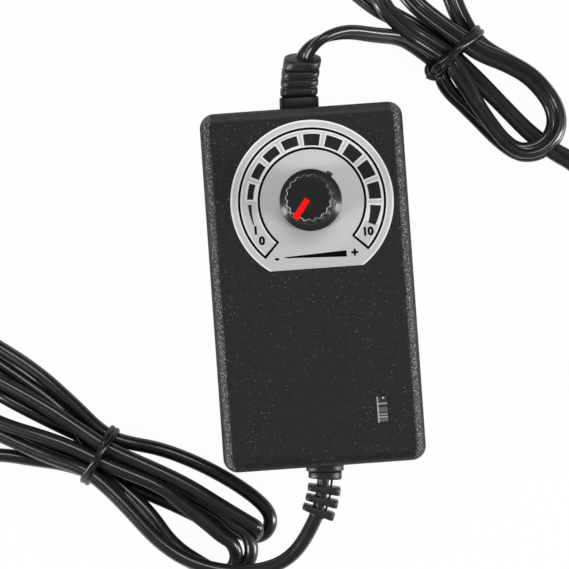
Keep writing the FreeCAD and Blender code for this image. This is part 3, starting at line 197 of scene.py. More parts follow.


# Housing: two black ABS half shells that meet on a ledge half way up. The mould is spark eroded, so
# the skin is a fine grain with a few smoother points given painted glints, and its rounded edges get a painted sheen.

def spark_finish(name, colour):
    skin = Finish(name, colour, 0.45, Specular_IOR_Level=0.28)
    grain = skin.noise(1700.0, 3.0, 0.7)
    cells = skin.node("ShaderNodeTexVoronoi", {"feature": "F1"}, {"Vector": skin.place, "Scale": 1900.0}, "Distance")
    pick = skin.node("ShaderNodeTexVoronoi", {"feature": "F1"}, {"Vector": skin.place, "Scale": 1900.0}, "Color")
    chance = skin.node("ShaderNodeSeparateColor", None, {"Color": pick}, "Red")
    other = skin.node("ShaderNodeSeparateColor", None, {"Color": pick}, "Green")
    power = skin.ramp(chance, 0.66, 1.0)
    patchy = skin.ramp(skin.noise(70.0, 3.0), 0.34, 0.62)
    # Painted glints: a few grain cells get a pale colour that stands in for points catching the light.
    painted_glint = (cells < 0.30) * power * power * power * patchy * 0.6
    facing = skin.node("ShaderNodeNewGeometry", out="Normal")
    facing_x = abs(skin.axis(facing, "X"))
    facing_y = skin.axis(facing, "Y")
    facing_z = skin.axis(facing, "Z")
    # Painted sheen: the roundings facing the side lamps, and faintly the ends, are painted paler, with painted sparkle
    # in it.
    painted_side_sheen = skin.ramp(facing_x, 0.12, 0.26) * skin.ramp(facing_x, 0.80, 0.58) * skin.ramp(facing_z, 0.1, 0.3)
    painted_end_sheen = skin.ramp(facing_y, 0.10, 0.30) * skin.ramp(facing_y, 0.98, 0.85) * skin.ramp(facing_z, 0.1, 0.3)
    painted_sparkle = skin.ramp(skin.noise(2500.0, 2.0, 0.8), 0.535, 0.60) * (0.35 + other * 0.65)
    dark, light = ((*[c * share for c in colour], 1.0) for share in (0.4, 1.6))
    painted_edge_sheen = painted_side_sheen * (0.03 + painted_sparkle * 0.97) + painted_end_sheen * 0.09
    skin.set("Roughness", 0.30 + other * 0.30 - painted_glint * 0.15)
    skin.set("Base Color", skin.mix(painted_glint, skin.mix(
        painted_edge_sheen, skin.mix(skin.ramp(grain, 0.36, 0.64), dark, light), (0.42, 0.41, 0.395, 1.0)),
        (0.34, 0.34, 0.35, 1.0)))
    skin.bump(grain + other * 0.5, 0.00022, 1.0)
    return skin


shell_skin = spark_finish("spark_eroded_abs", (0.0085, 0.0087, 0.0088))
shell_skin.dress("housing_cover", "housing_base")


# Dial plate: satin anodised aluminium stuck round the bushing, its sheared edge given a painted
# highlight, and the disc inside the scale given painted shade that darkens it towards the left. The
# scale is silk screened in black with a pale line round each mark: two arcs joined at their ends, a
# sliver and ten widening blocks between them, and plain numbers.

dial_x = 1.4 * mm
dial_y = 23.0 * mm
plate_top = 33.25 * mm
plate_skin = Finish("satin_plate", (0.60, 0.60, 0.61), 0.42, 0.55)
plate_place = plate_skin.node("ShaderNodeVectorMath", {"operation": "SUBTRACT"},
                              {0: plate_skin.place, 1: (dial_x, dial_y, plate_top)})
plate_x = plate_skin.axis(plate_place, "X")
plate_y = plate_skin.axis(plate_place, "Y")
plate_turn = plate_skin.node("ShaderNodeMath", {"operation": "ARCTAN2"}, {0: plate_y, 1: plate_x})
plate_away = plate_skin.node("ShaderNodeVectorMath", {"operation": "LENGTH"}, {0: plate_place}, "Value")
plate_side_for_shade = plate_skin.node("ShaderNodeMath", {"operation": "COSINE"}, {0: plate_turn})
plate_inside = plate_skin.ramp(plate_away, 14.6 * mm, 14.0 * mm)
plate_fine = plate_skin.noise(1800.0, 2.0)
# Painted highlight: the rim is painted white.
plate_rim_highlight = plate_away > 21.55 * mm
# Angles in degrees from the right hand side, radii in millimetres.
block_step = 20.14
first_block = 167.0
scale_start = -43.6
scale_stop = 226.1
outer_arc = 19.65
inner_arc = 14.36
plate_phase = (plate_turn - math.radians(first_block - block_step / 2)) % math.radians(block_step)
plate_phase = abs(plate_phase - math.radians(block_step / 2))
# The pale line round the blocks ends at a radius that shrinks as the angle grows, like the blocks.
block_keyline = ((plate_phase < math.radians(8.8)) * (plate_away > 14.9 * mm)
                 * (plate_away < plate_turn * (-0.41 * mm) + 19.2 * mm)
                 * (plate_turn > math.radians(-24.0)) * (plate_turn < math.radians(177.0)))
off_scale = (plate_turn > math.radians(scale_stop - 360.0)) * (plate_turn < math.radians(scale_start))
arc_keyline = ((plate_away > (outer_arc - 0.75) * mm) * (plate_away < (outer_arc + 0.7) * mm)
               + (plate_away > inner_arc * mm) * (plate_away < (inner_arc + 0.74) * mm)) * (1.0 - off_scale)
plate_keyline = plate_skin.ramp(block_keyline + arc_keyline, 0.0, 1.0)
# Inside the inner arc, painted shade darkens the colour towards the left.
plate_skin.set("Base Color", plate_skin.mix(plate_rim_highlight, plate_skin.mix(plate_keyline, plate_skin.mix(
    plate_inside, plate_skin.mix(plate_fine, (0.64, 0.64, 0.645, 1.0), (0.68, 0.68, 0.685, 1.0)),
    plate_skin.mix(plate_skin.ramp(plate_side_for_shade, 0.0, -1.0), (0.70, 0.70, 0.705, 1.0), (0.635, 0.635, 0.64, 1.0))),
    (0.90, 0.90, 0.905, 1.0)), (1.0, 1.0, 1.0, 1.0)))
plate_skin.set("Roughness", 0.36 + plate_fine * 0.14)
plate_skin.bump(plate_fine, 0.00002, 0.5)
plate_skin.dress("dial_plate")


def printed_ink(name, colour, gloss):
    """A dry black ink with a fine grain."""
    made = Finish(name, (colour,) * 3, 0.6, Specular_IOR_Level=gloss)
    grain = made.noise(3000.0, 2.0)
    made.set("Base Color", made.mix(grain, (*(colour * 0.6,) * 3, 1.0), (*(colour * 1.4,) * 3, 1.0)))
    made.set("Roughness", 0.52 + grain * 0.2)
    made.bump(grain, 0.000005)
    return made


line_ink = printed_ink("line_ink", 0.0015, 0.05)
block_ink = printed_ink("block_ink", 0.010, 0.25)


def mesh_object(name, points, faces, smooth=False, body="root"):
    mesh = bpy.data.meshes.new(name)
    mesh.from_pydata([tuple(p) for p in points], [], faces)
    mesh.update()
    if smooth:
        mesh.shade_smooth()
    made = bpy.data.objects.new(name, mesh)
    scene.collection.objects.link(made)
    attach(made, body)
    return made


def on_dial(radius, angle, height):
    turn = math.radians(angle)
    return (dial_x + radius * mm * math.cos(turn), dial_y + radius * mm * math.sin(turn), height)


ink_low = plate_top + 0.004 * mm
ink_high = plate_top + 0.024 * mm
print_points = []
print_faces = []


def inked_band(inner, outer, start, stop, steps):
    """A printed band round the dial, its radii given at both ends, in millimetres."""
    base = len(print_points)
    for k in range(steps + 1):
        share = k / steps
        angle = start + (stop - start) * share
        for radius, height in ((inner[0] + (inner[1] - inner[0]) * share, ink_low),
                               (inner[0] + (inner[1] - inner[0]) * share, ink_high),
                               (outer[0] + (outer[1] - outer[0]) * share, ink_high),
                               (outer[0] + (outer[1] - outer[0]) * share, ink_low)):
            print_points.append(on_dial(radius, angle, height))
    for k in range(steps):
        a = base + 4 * k
        for side in range(4):
            print_faces.append((a + side, a + (side + 1) % 4, a + 4 + (side + 1) % 4, a + 4 + side))
    last = base + 4 * steps
    print_faces.append((base + 3, base + 2, base + 1, base))
    print_faces.append((last, last + 1, last + 2, last + 3))


line = 0.64
for radius in (outer_arc, inner_arc):
    inked_band((radius - line / 2,) * 2, (radius + line / 2,) * 2, scale_start, scale_stop, 120)
for end in (scale_start, scale_stop):
    half = math.degrees(line / 2 / 17.0)
    inked_band((14.15,) * 2, (19.9,) * 2, end - half, end + half, 1)
line_ink.dress(mesh_object("dial_lines", print_points, print_faces))
print_points = []
print_faces = []
inked_band((16.75, 16.3), (17.0, 17.3), 198.2, 179.2, 12)  # the sliver before the first block
outer_edges = (17.5, 17.75, 18.0, 18.1, 18.25, 18.35, 18.6, 18.6, 18.65, 18.65)
inner_edges = (15.85, 15.45, 15.45, 15.45, 15.1, 15.15, 15.05, 15.1, 15.4, 15.65)
for number in range(10):
    last = number == 9
    middle = first_block - number * block_step - (1.7 if last else 0.0)
    half = 8.6 if last else 7.3
    taper = 0.5 if last else 0.0
    inked_band((inner_edges[number], inner_edges[number] + taper),
               (outer_edges[number], outer_edges[number] - taper), middle + half, middle - half, 12)
block_ink.dress(mesh_object("dial_blocks", print_points, print_faces))


def inked_words(name, words, size, at_x, at_y):
    """Plain characters printed on the plate, centred on a point, in millimetres from the dial's middle."""
    letters = bpy.data.curves.new(name + "_outline", "FONT")
    letters.body = words
    letters.size = size * mm
    letters.align_x = "CENTER"
    letters.align_y = "CENTER"
    letters.extrude = 0.01 * mm
    letters.offset = 0.16 * mm
    letters.resolution_u = 6
    outline = bpy.data.objects.new(name + "_outline", letters)
    scene.collection.objects.link(outline)
    mesh = bpy.data.meshes.new_from_object(outline.evaluated_get(bpy.context.evaluated_depsgraph_get()))
    bpy.data.objects.remove(outline)
    mesh.transform(Matrix.Translation((dial_x + at_x * mm, dial_y + at_y * mm, plate_top + 0.014 * mm)))
    mesh.name = name
    made = bpy.data.objects.new(name, mesh)
    scene.collection.objects.link(made)
    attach(made, "root")
    line_ink.dress(made)


inked_words("dial_number_0", "0", 3.0, -14.2, -9.7)
inked_words("dial_number_1", "1", 3.0, -15.7, -6.8)
inked_words("dial_number_10", "10", 3.0, 14.4, -9.15)
inked_words("dial_minus", "-", 3.3, -10.5, -14.6)
inked_words("dial_plus", "+", 3.3, 10.5, -14.6)
wedge_points = []
for x, low, high in ((-8.3, -14.75, -14.45), (8.3, -15.45, -13.75)):
    for y, z in ((low, ink_low), (high, ink_low), (high, ink_high), (low, ink_high)):
        wedge_points.append((dial_x + x * mm, dial_y + y * mm, z))
dial_wedge = mesh_object("dial_wedge", wedge_points, [(0, 1, 2, 3), (7, 6, 5, 4), (0, 4, 5, 1), (1, 5, 6, 2),
                                                     (2, 6, 7, 3), (3, 7, 4, 0)])
line_ink.dress(dial_wedge)


# Indicator: a clear ribbed lens pressed into the cover from inside, with a green lamp that is off
# below it. The light its ribs catch is painted in: a bright line, bright rungs and a glint dot.

lens_skin = Finish("clear_lens", (0.02, 0.02, 0.02), 0.12, 0.0, IOR=1.49)
lens_place = lens_skin.node("ShaderNodeVectorMath", {"operation": "SUBTRACT"},
                            {0: lens_skin.place, 1: (16.3 * mm, -34.2 * mm, 33.0 * mm)})
lens_across = lens_skin.axis(lens_place, "X")
lens_along = lens_skin.axis(lens_place, "Y")
lens_cloud = lens_skin.noise(1500.0, 3.0)
# Painted highlights: a bright line down the left of the lens and bright rungs across it.
lens_painted_rungs = (lens_across < -0.98 * mm) * 0.75
for rung, wide, bright in (
        (1.6, 0.24, 0.6), (0.0, 0.6, 0.2), (-1.26, 0.2, 0.6), (-2.05, 0.2, 0.75), (-2.85, 0.3, 0.25)):
    lens_painted_rungs = lens_painted_rungs + (abs(lens_along - rung * mm) < wide * mm) * bright
lens_painted_rungs = lens_painted_rungs * (abs(lens_across) < 1.36 * mm)
# Painted glint: one bright dot.
lens_painted_glint = lens_skin.node("ShaderNodeVectorMath", {"operation": "DISTANCE"},
                          {0: lens_place, 1: (0.4 * mm, 3.1 * mm, 0.0)}, "Value") < 0.3 * mm
lens_cloud_and_painted_highlights = lens_skin.ramp(lens_painted_rungs + lens_cloud * 0.12 + lens_painted_glint, 0.0, 1.0)
lens_skin.set("Base Color", lens_skin.mix(lens_cloud_and_painted_highlights, (0.010, 0.010, 0.010, 1.0), (0.46, 0.47, 0.47, 1.0)))
lens_skin.set("Roughness", 0.25 + lens_cloud * 0.15)
lens_skin.bump(lens_painted_rungs, 0.00003)
lens_skin.dress("indicator_window")
led_skin = Finish("diffused_led", (0.10, 0.45, 0.12), 0.35)
led_skin.set("Base Color", led_skin.mix(led_skin.noise(700.0), (0.07, 0.35, 0.09, 1.0), (0.14, 0.5, 0.15, 1.0)))
led_skin.dress("indicator_led")


# Knob: one glossy black moulding with a conical skirt and eighteen flutes, pushed on the shaft. Its
# top is duller than its sides, and a red strip let into it runs over the edge and down the side. A
# painted highlight runs round the rounded rim of its top, and its skirt is painted paler as a sheen.

knob_foot = 34.0 * mm
# Radius and height in millimetres, and what share of their depth the flutes have there.
knob_profile = [(8.0, 0.0, 0), (8.28, 0.05, 0), (8.35, 0.16, 0), (8.35, 0.72, 0), (8.29, 0.84, 0), (8.15, 0.94, 0),
                (7.75, 1.14, 0), (7.3, 1.44, 0), (6.9, 1.82, 0), (6.66, 2.2, 0), (6.5, 2.66, 0.3), (6.42, 3.0, 0.9),
                (6.38, 3.4, 1), (6.34, 6.5, 1), (6.28, 9.5, 1), (6.22, 12.3, 1), (6.19, 12.6, 1), (6.1, 12.82, 1),
                (5.95, 12.95, 1), (5.78, 13.0, 1), (5.0, 13.0, 0.5), (3.0, 12.99, 0)]
flutes = 18
flute_depth = 0.46
flute_half = 7.2
land_angle = 236.0
pointer_angle = 233.0
knob_shift = (-0.36, 0.36)
knob_lean = (-0.75, 0.10)
around = flutes * 12
knob_points = []
knob_faces = []


def on_knob(radius, angle, height):
    """A place on the knob, which was pushed on the shaft a little askew, so that its top leans to the left."""
    place = on_dial(radius, angle, knob_foot + height * mm)
    askew = max(0.0, height - 1.0) / 12.0
    return (place[0] + (knob_shift[0] + knob_lean[0] * askew) * mm,
            place[1] + (knob_shift[1] + knob_lean[1] * askew) * mm, place[2])


for radius, height, fluted in knob_profile:
    for k in range(around):
        angle = 360.0 * k / around
        phase = ((angle - land_angle + 180.0 / flutes) % (360.0 / flutes)) - 180.0 / flutes
        off = abs(abs(phase) - 180.0 / flutes) / flute_half
        cut = flute_depth * (1 - off * off) if off < 1 else 0.0
        knob_points.append(on_knob(radius - cut * fluted, angle, height))
for row in range(len(knob_profile) - 1):
    for k in range(around):
        a = row * around + k
        b = row * around + (k + 1) % around
        knob_faces.append((a, b, b + around, a + around))
knob_top_middle = len(knob_points)
knob_points.append(on_knob(0.0, 0.0, 12.99))
last_row = (len(knob_profile) - 1) * around
for k in range(around):
    knob_faces.append((last_row + k, last_row + (k + 1) % around, knob_top_middle))
# Underneath, the skirt is hollow and the hole for the shaft goes up in it.
hollow_row = len(knob_points)
for radius, height in ((5.9, 0.0), (5.3, 3.0), (3.04, 3.0), (3.04, 12.0)):
    for k in range(around):
        knob_points.append(on_dial(radius, 360.0 * k / around, knob_foot + height * mm))
for row in range(-1, 3):
    for k in range(around):
        low = 0 if row < 0 else hollow_row + row * around
        high = hollow_row + (row + 1) * around
        knob_faces.append((low + (k + 1) % around, low + k, high + k, high + (k + 1) % around))
knob_faces.append(tuple(hollow_row + 3 * around + k for k in range(around)))
knob = mesh_object("fluted_knob", knob_points, knob_faces, True, "knob")
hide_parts("knob_body")
knob_skin = Finish("knob_moulding", (0.007, 0.007, 0.0075), 0.2, 0.0, Coat_Weight=0.2, Specular_IOR_Level=0.3)
knob_heights = knob_skin.axis(knob_skin.place, "Z")
knob_matte = knob_skin.ramp(knob_heights, knob_foot + 12.86 * mm, knob_foot + 12.97 * mm)
knob_fine = knob_skin.noise(2200.0, 2.0)
# Painted highlight: a pale, patchy line round the rounded rim of the top.
knob_rim_highlight = (knob_skin.ramp(knob_heights, knob_foot + 12.55 * mm, knob_foot + 12.72 * mm)
            * knob_skin.ramp(knob_heights, knob_foot + 12.97 * mm, knob_foot + 12.90 * mm))
# Painted sheen: the skirt is coloured paler than the rest of the moulding.
knob_skirt_sheen = knob_skin.ramp(knob_heights, knob_foot + 2.8 * mm, knob_foot + 2.2 * mm)
knob_wall = knob_skin.ramp(knob_heights, knob_foot + 2.6 * mm, knob_foot + 3.2 * mm)
knob_skin.set("Base Color", knob_skin.mix(knob_rim_highlight * knob_skin.ramp(knob_skin.noise(180.0), 0.34, 0.62), knob_skin.mix(
    knob_skirt_sheen, knob_skin.mix(knob_matte, (0.007, 0.007, 0.0075, 1.0), (0.0045, 0.0045, 0.0045, 1.0)),
    (0.019, 0.019, 0.020, 1.0)), (0.50, 0.50, 0.51, 1.0)))
knob_skin.set("Roughness", 0.22 + knob_wall * 0.16 + knob_matte * 0.08 + knob_fine * 0.06)
knob_skin.set("Coat Weight", 0.25 - knob_matte * 0.25)
knob_skin.bump(knob_fine, 0.00002, 0.4)
knob_skin.dress(knob)
pointer_skin = Finish("red_strip", (0.95, 0.002, 0.002), 0.5, Specular_IOR_Level=0.15)
pointer_skin.set("Base Color", pointer_skin.mix(pointer_skin.noise(900.0), (0.90, 0.001, 0.001, 1.0),
                                                (1.0, 0.003, 0.003, 1.0)))
pointer_skin.bump(pointer_skin.noise(2500.0), 0.00001)
pointer_way = Vector((math.cos(math.radians(pointer_angle)), math.sin(math.radians(pointer_angle)), 0))
pointer_rings = []
for radius, height, wide in ((0.5, 12.99, 0.82), (5.4, 13.02, 0.82), (6.05, 13.0, 0.82), (6.38, 12.78, 0.80),
                             (6.46, 12.3, 0.78), (6.44, 9.6, 0.70), (6.40, 9.0, 0.40)):
    middle = Vector(on_knob(radius, pointer_angle, height))
    aside = Vector((-pointer_way.y, pointer_way.x, 0)) * (wide * mm)
    outward = (Vector((0, 0, 1)) if radius < 5.9 else Vector((pointer_way.x, pointer_way.y, 0.2))) * (0.10 * mm)
    pointer_rings.append([middle - aside - outward, middle + aside - outward, middle + aside + outward,
                          middle - aside + outward])
pointer = mesh_object("pointer_strip", [p for ring in pointer_rings for p in ring],
                      [(4 * row + k, 4 * row + (k + 1) % 4, 4 * row + 4 + (k + 1) % 4, 4 * row + 4 + k)
                       for row in range(len(pointer_rings) - 1) for k in range(4)]
                      + [(3, 2, 1, 0), tuple(4 * (len(pointer_rings) - 1) + k for k in range(4))], False, "knob")
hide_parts("knob_pointer")
pointer_skin.dress(pointer)


# Potentiometer and its switch: plated steel can, bushing, nut and washer, a pressed board wafer with
# tinned tags, and a snap switch on its back. Only the index tab shows, beside the knob's skirt.

def plain_finish(name, colour, roughness, metallic, scale, spread, depth, **fixed):
    """A finish with a little mottle in its colour and gloss and a matching relief."""
    made = Finish(name, colour, roughness, metallic, **fixed)
    mottle = made.noise(scale, 3.0)
    made.set("Base Color", made.mix(mottle, (*[c * (1 - spread) for c in colour], 1.0),
                                    (*[min(1.0, c * (1 + spread)) for c in colour], 1.0)))
    made.set("Roughness", roughness - 0.06 + mottle * 0.12)
    made.bump(mottle, depth)
    return made


plain_finish("plated_steel", (0.60, 0.60, 0.58), 0.34, 1.0, 900.0, 0.12, 0.00001).dress(
    "pot_can", "pot_nut", "pot_washer", "pot_shaft", "heatsink_screws", "fuse_caps")
plain_finish("blackened_bushing", (0.02, 0.02, 0.02), 0.4, 0.0, 900.0, 0.2, 0.00001).dress("pot_bushing")
plain_finish("pressed_board", (0.35, 0.20, 0.09), 0.6, 0.0, 500.0, 0.25, 0.00003).dress("pot_track_wafer")
plain_finish("tinned_brass", (0.75, 0.62, 0.35), 0.3, 1.0, 1200.0, 0.15, 0.00001).dress(
    "pot_terminals", "pot_wiper", "switch_arm", "switch_contacts")
plain_finish("white_moulding", (0.68, 0.68, 0.64), 0.45, 0.0, 700.0, 0.06, 0.00001).dress("pot_rotor", "optocoupler")
plain_finish("black_moulding", (0.022, 0.022, 0.023), 0.48, 0.0, 1500.0, 0.2, 0.00002).dress(
    "switch_case", "transformer_bobbin", "bridge_rectifier", "power_transistor", "output_diode", "controller_chip")


# Circuit board and its parts, soldered to it inside the housing: paper laminate, capacitors in shrink
# sleeves, a ferrite transformer wrapped in yellow tape, and two stamped aluminium heatsinks.

plain_finish("paper_laminate", (0.50, 0.36, 0.16), 0.55, 0.0, 260.0, 0.12, 0.00002).dress("circuit_board")
plain_finish("shrink_sleeve", (0.03, 0.04, 0.09), 0.28, 0.0, 400.0, 0.15, 0.00002).dress(
    "bulk_capacitor", "output_capacitors")
plain_finish("ground_ferrite", (0.06, 0.06, 0.065), 0.62, 0.0, 1600.0, 0.25, 0.00003).dress(
    "transformer_core", "choke_core")
plain_finish("yellow_tape", (0.75, 0.58, 0.08), 0.32, 0.0, 500.0, 0.08, 0.00002).dress("transformer_windings")
plain_finish("film_case", (0.72, 0.48, 0.06), 0.38, 0.0, 500.0, 0.08, 0.00002).dress("x_capacitor")
plain_finish("blue_dip", (0.05, 0.16, 0.45), 0.25, 0.0, 300.0, 0.12, 0.00004).dress("y_capacitor")
plain_finish("stamped_aluminium", (0.62, 0.62, 0.62), 0.4, 1.0, 700.0, 0.1, 0.00002).dress(
    "primary_heatsink", "secondary_heatsink")
plain_finish("fuse_tube", (0.7, 0.72, 0.72), 0.08, 0.0, 300.0, 0.03, 0.000002).dress("fuse")

copper = Finish("enamelled_copper", (0.55, 0.22, 0.09), 0.25, 0.9)
copper_turns = copper.node("ShaderNodeTexWave", {"bands_direction": "Z"}, {"Vector": copper.place, "Scale": 320.0},
                           "Fac")
copper.set("Base Color", copper.mix(copper_turns, (0.30, 0.10, 0.04, 1.0), (0.66, 0.28, 0.12, 1.0)))
copper.bump(copper_turns, 0.00015)
copper.dress("choke_winding")

resistor_skin = Finish("resistor_lacquer", (0.45, 0.33, 0.20), 0.35)
resistor_rings = resistor_skin.node("ShaderNodeTexWave", {"bands_direction": "Y"},
                                    {"Vector": resistor_skin.place, "Scale": 150.0}, "Fac")
resistor_skin.set("Base Color", resistor_skin.mix(resistor_rings > 0.72, (0.45, 0.33, 0.20, 1.0),
                                                  (0.20, 0.05, 0.02, 1.0)))
resistor_skin.bump(resistor_rings, 0.00002)
resistor_skin.dress("board_resistors")

hookup = Finish("hookup_wire", (0.45, 0.04, 0.03), 0.35)
hookup_side = hookup.axis(hookup.place, "X")
hookup.set("Base Color", hookup.mix(hookup_side > 0.0, (0.02, 0.02, 0.02, 1.0), (0.42, 0.03, 0.02, 1.0)))
hookup.set("Roughness", 0.3 + hookup.noise(800.0) * 0.15)
hookup.dress("pot_wires", "ac_inner_wires", "dc_inner_wires")


# Strain reliefs: soft black PVC moulded over each cord where it leaves the housing, with ribs that
# let it bend. Their rib edges are rubbed a little paler than the flats between them.

relief_skin = Finish("relief_pvc", (0.014, 0.014, 0.014), 0.36)
relief_grain = relief_skin.noise(1500.0, 3.0)
relief_worn = relief_skin.ramp(relief_skin.node("ShaderNodeNewGeometry", out="Pointiness"), 0.53, 0.62)
relief_skin.set("Base Color", relief_skin.mix(relief_worn * relief_skin.ramp(relief_skin.noise(500.0), 0.35, 0.6),
                                              (0.012, 0.012, 0.012, 1.0), (0.06, 0.058, 0.055, 1.0)))
relief_skin.set("Roughness", 0.28 + relief_grain * 0.2)
relief_skin.bump(relief_grain, 0.00004, 0.6)


def rounded_ring(place, across, up, width, height, corner):
    """The points of a rounded rectangle round a place, in metres."""
    per_corner = 6
    corner = min(corner, width / 2 - 1e-5, height / 2 - 1e-5)
    ring = []
    for sx, sy, start in ((1, 1, 0), (-1, 1, 90), (-1, -1, 180), (1, -1, 270)):
        for k in range(per_corner):
            turn = math.radians(start + 90 * k / (per_corner - 1))
            x = sx * (width / 2 - corner) + corner * math.cos(turn)
            y = sy * (height / 2 - corner) + corner * math.sin(turn)
            ring.append(place + across * x + up * y)
    return ring


def skinned(name, rings):
    """A closed smooth skin through rings of as many points each."""
    count = len(rings[0])
    points = [p for ring in rings for p in ring]
    faces = []
    for row in range(len(rings) - 1):
        for k in range(count):
            a = row * count + k
            b = row * count + (k + 1) % count
            faces.append((a, b, b + count, a + count))
    faces.append(tuple(reversed(range(count))))
    faces.append(tuple((len(rings) - 1) * count + k for k in range(count)))
    made = mesh_object(name, points, faces, True)
    made.data.set_sharp_from_angle(angle=math.radians(50))
    return made


def bent(start, along, sideways, length, bend):
    """Place and heading at a distance along a relief that sets off straight and bends sideways."""
    radius = length / math.radians(bend)

    def at(distance):
        turn = distance / radius
        place = start + along * (radius * math.sin(turn)) + sideways * (radius * (1 - math.cos(turn)))
        return place, (along * math.cos(turn) + sideways * math.sin(turn)).normalized()

    return at


def moulded(name, path, side, stations):
    """A moulding along a path: each station is distance, width, height, corner and shift across."""
    rings = []
    for distance, width, height, corner, shift in stations:
        place, heading = path(distance * mm)
        across = (side - heading * side.dot(heading)).normalized()
        up = heading.cross(across)
        rings.append(rounded_ring(place + across * (shift * mm), across, up, width * mm, height * mm, corner * mm))
    return skinned(name, rings)


def rib(start, stop, width, height, corner, shift=0.0, edge=0.35):
    """The stations of one rib with its two edges rounded off."""
    rows = []
    for share, cut in ((0.0, 1.0), (0.12, 0.5), (0.4, 0.14), (1.0, 0.0)):
        rows.append((start + edge * share, width - 2 * edge * cut, height - 2 * edge * cut, corner, shift))
    for share, cut in ((1.0, 0.0), (0.4, 0.14), (0.12, 0.5), (0.0, 1.0)):
        rows.append((stop - edge * share, width - 2 * edge * cut, height - 2 * edge * cut, corner, shift))
    return rows


seam = 16.5 * mm
relief_start = 49.5 * mm
ac_relief_length = 14.7
dc_relief_length = 14.8
lean = math.radians(30.0)
ac_path = bent(Vector((0, relief_start, seam)), Vector((0, 1, 0)), Vector((math.sin(lean), 0, math.cos(lean))),
               ac_relief_length * mm, 32.0)


def ac_rings(distance):
    place, heading = ac_path(distance)
    return place, Vector((heading.x * 0.3, heading.y, heading.z)).normalized()


ac_head = 3.1
ac_pitch = 2.6
ac_stations = [(-2.6, 9.0, 6.4, 2.0, 0)] + rib(0.0, 3.5, 10.9, 8.2, 2.0)
for k in range(3):
    middle = ac_relief_length - ac_head - ac_pitch * (2.5 - k)
    ac_stations += [(middle - 1.2, 9.5, 6.9, 2.0, 0)]
    ac_stations += rib(middle - 1.08, middle + 1.08, 10.4, 8.0, 2.2, edge=0.45)
    ac_stations += [(middle + 1.2, 9.5, 6.9, 2.0, 0)]
ac_stations += rib(ac_relief_length - ac_head, ac_relief_length, 10.3, 8.0, 3.2, edge=0.7)
ac_relief = moulded("ac_relief_moulding", ac_rings, Vector((1, 0, 0)), ac_stations)
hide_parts("ac_strain_relief")
relief_skin.dress(ac_relief)

dc_path = bent(Vector((0, -relief_start, seam)), Vector((0, -1, 0)), Vector((-1, 0, 0)), dc_relief_length * mm, 26.5)
dc_core = moulded("dc_relief_core", dc_path, Vector((1, 0, 0)),
                  [(-2.6, 8.0, 6.4, 2.0, 0)] + rib(0.0, 1.7, 10.5, 9.2, 3.6) + [(1.75, 9.0, 7.9, 3.2, 0)]
                  + rib(1.8, 3.9, 9.3, 8.2, 3.2) + [(3.95, 3.3, 5.2, 1.4, -0.45), (8.0, 3.2, 4.9, 1.4, -0.45),
                                                   (12.2, 3.2, 4.8, 1.5, -0.4), (13.2, 4.5, 4.7, 2.1, 0),
                                                   (14.8, 4.4, 4.4, 2.1, 0)])
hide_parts("dc_strain_relief")
relief_skin.dress(dc_core)
for face, lift in (("top", 1), ("under", -1)):
    web_lift = Vector((0, 0, lift * 2.15 * mm))
    web = moulded("dc_relief_web_" + face,
                  lambda d, web_lift=web_lift: (dc_path(d)[0] + web_lift, dc_path(d)[1]), Vector((1, 0, 0)),
                  [(3.7, 2.0, 1.7, 0.4, 0), (8.0, 1.9, 1.7, 0.4, 0), (13.0, 1.8, 1.5, 0.4, 0),
                   (14.1, 1.4, 1.2, 0.4, 0)])
    relief_skin.dress(web)
bridge = moulded("dc_relief_bridge", dc_path, Vector((1, 0, 0)),
                 [(3.6, 0.55, 3.4, 0.2, 2.0), (8.0, 0.5, 3.2, 0.2, 2.0), (13.9, 0.5, 3.0, 0.2, 2.0)])
relief_skin.dress(bridge)
first_bar = 6.9
bar_pitch = 3.2
for k in range(3):
    middle = first_bar + bar_pitch * k
    bar = moulded("dc_relief_bar_%d" % (k + 1), dc_path, Vector((1, 0, 0)),
                  rib(middle - 0.95, min(dc_relief_length - 0.05, middle + 0.95), 9.1, 7.2 - 0.3 * k, 1.0, 0.05))
    relief_skin.dress(bar)


# Mains cord: two tinned copper cores in flat black PVC, a waist between them, folded into a hank
# that a wire tie holds, with the free end running to its plug. The outline is glossy and smooth.

cord_skin = Finish("glossy_pvc", (0.010, 0.010, 0.0105), 0.22, 0.0, Coat_Weight=0.6, Coat_Roughness=0.08)
cord_smear = cord_skin.noise(160.0, 3.0)
cord_grain = cord_skin.noise(1400.0, 2.0)
cord_skin.set("Base Color", cord_skin.mix(cord_smear, (0.006, 0.006, 0.0062, 1.0), (0.014, 0.014, 0.0142, 1.0)))
cord_skin.set("Roughness", 0.20 + cord_smear * 0.14 + cord_grain * 0.03)
cord_skin.bump(cord_grain, 0.000002, 0.4)


class HankFrame:
    """The frame of a tied hank: u along it, v across it, z up, the tie at its middle, in millimetres."""

    def __init__(self, x, y, angle):
        turn = math.radians(angle)
        self.middle = Vector((x, y, 0))
        self.u = Vector((math.cos(turn), math.sin(turn), 0))
        self.v = Vector((-math.sin(turn), math.cos(turn), 0))

    def at(self, u, v, z):
        return self.middle + self.u * u + self.v * v + Vector((0, 0, z))


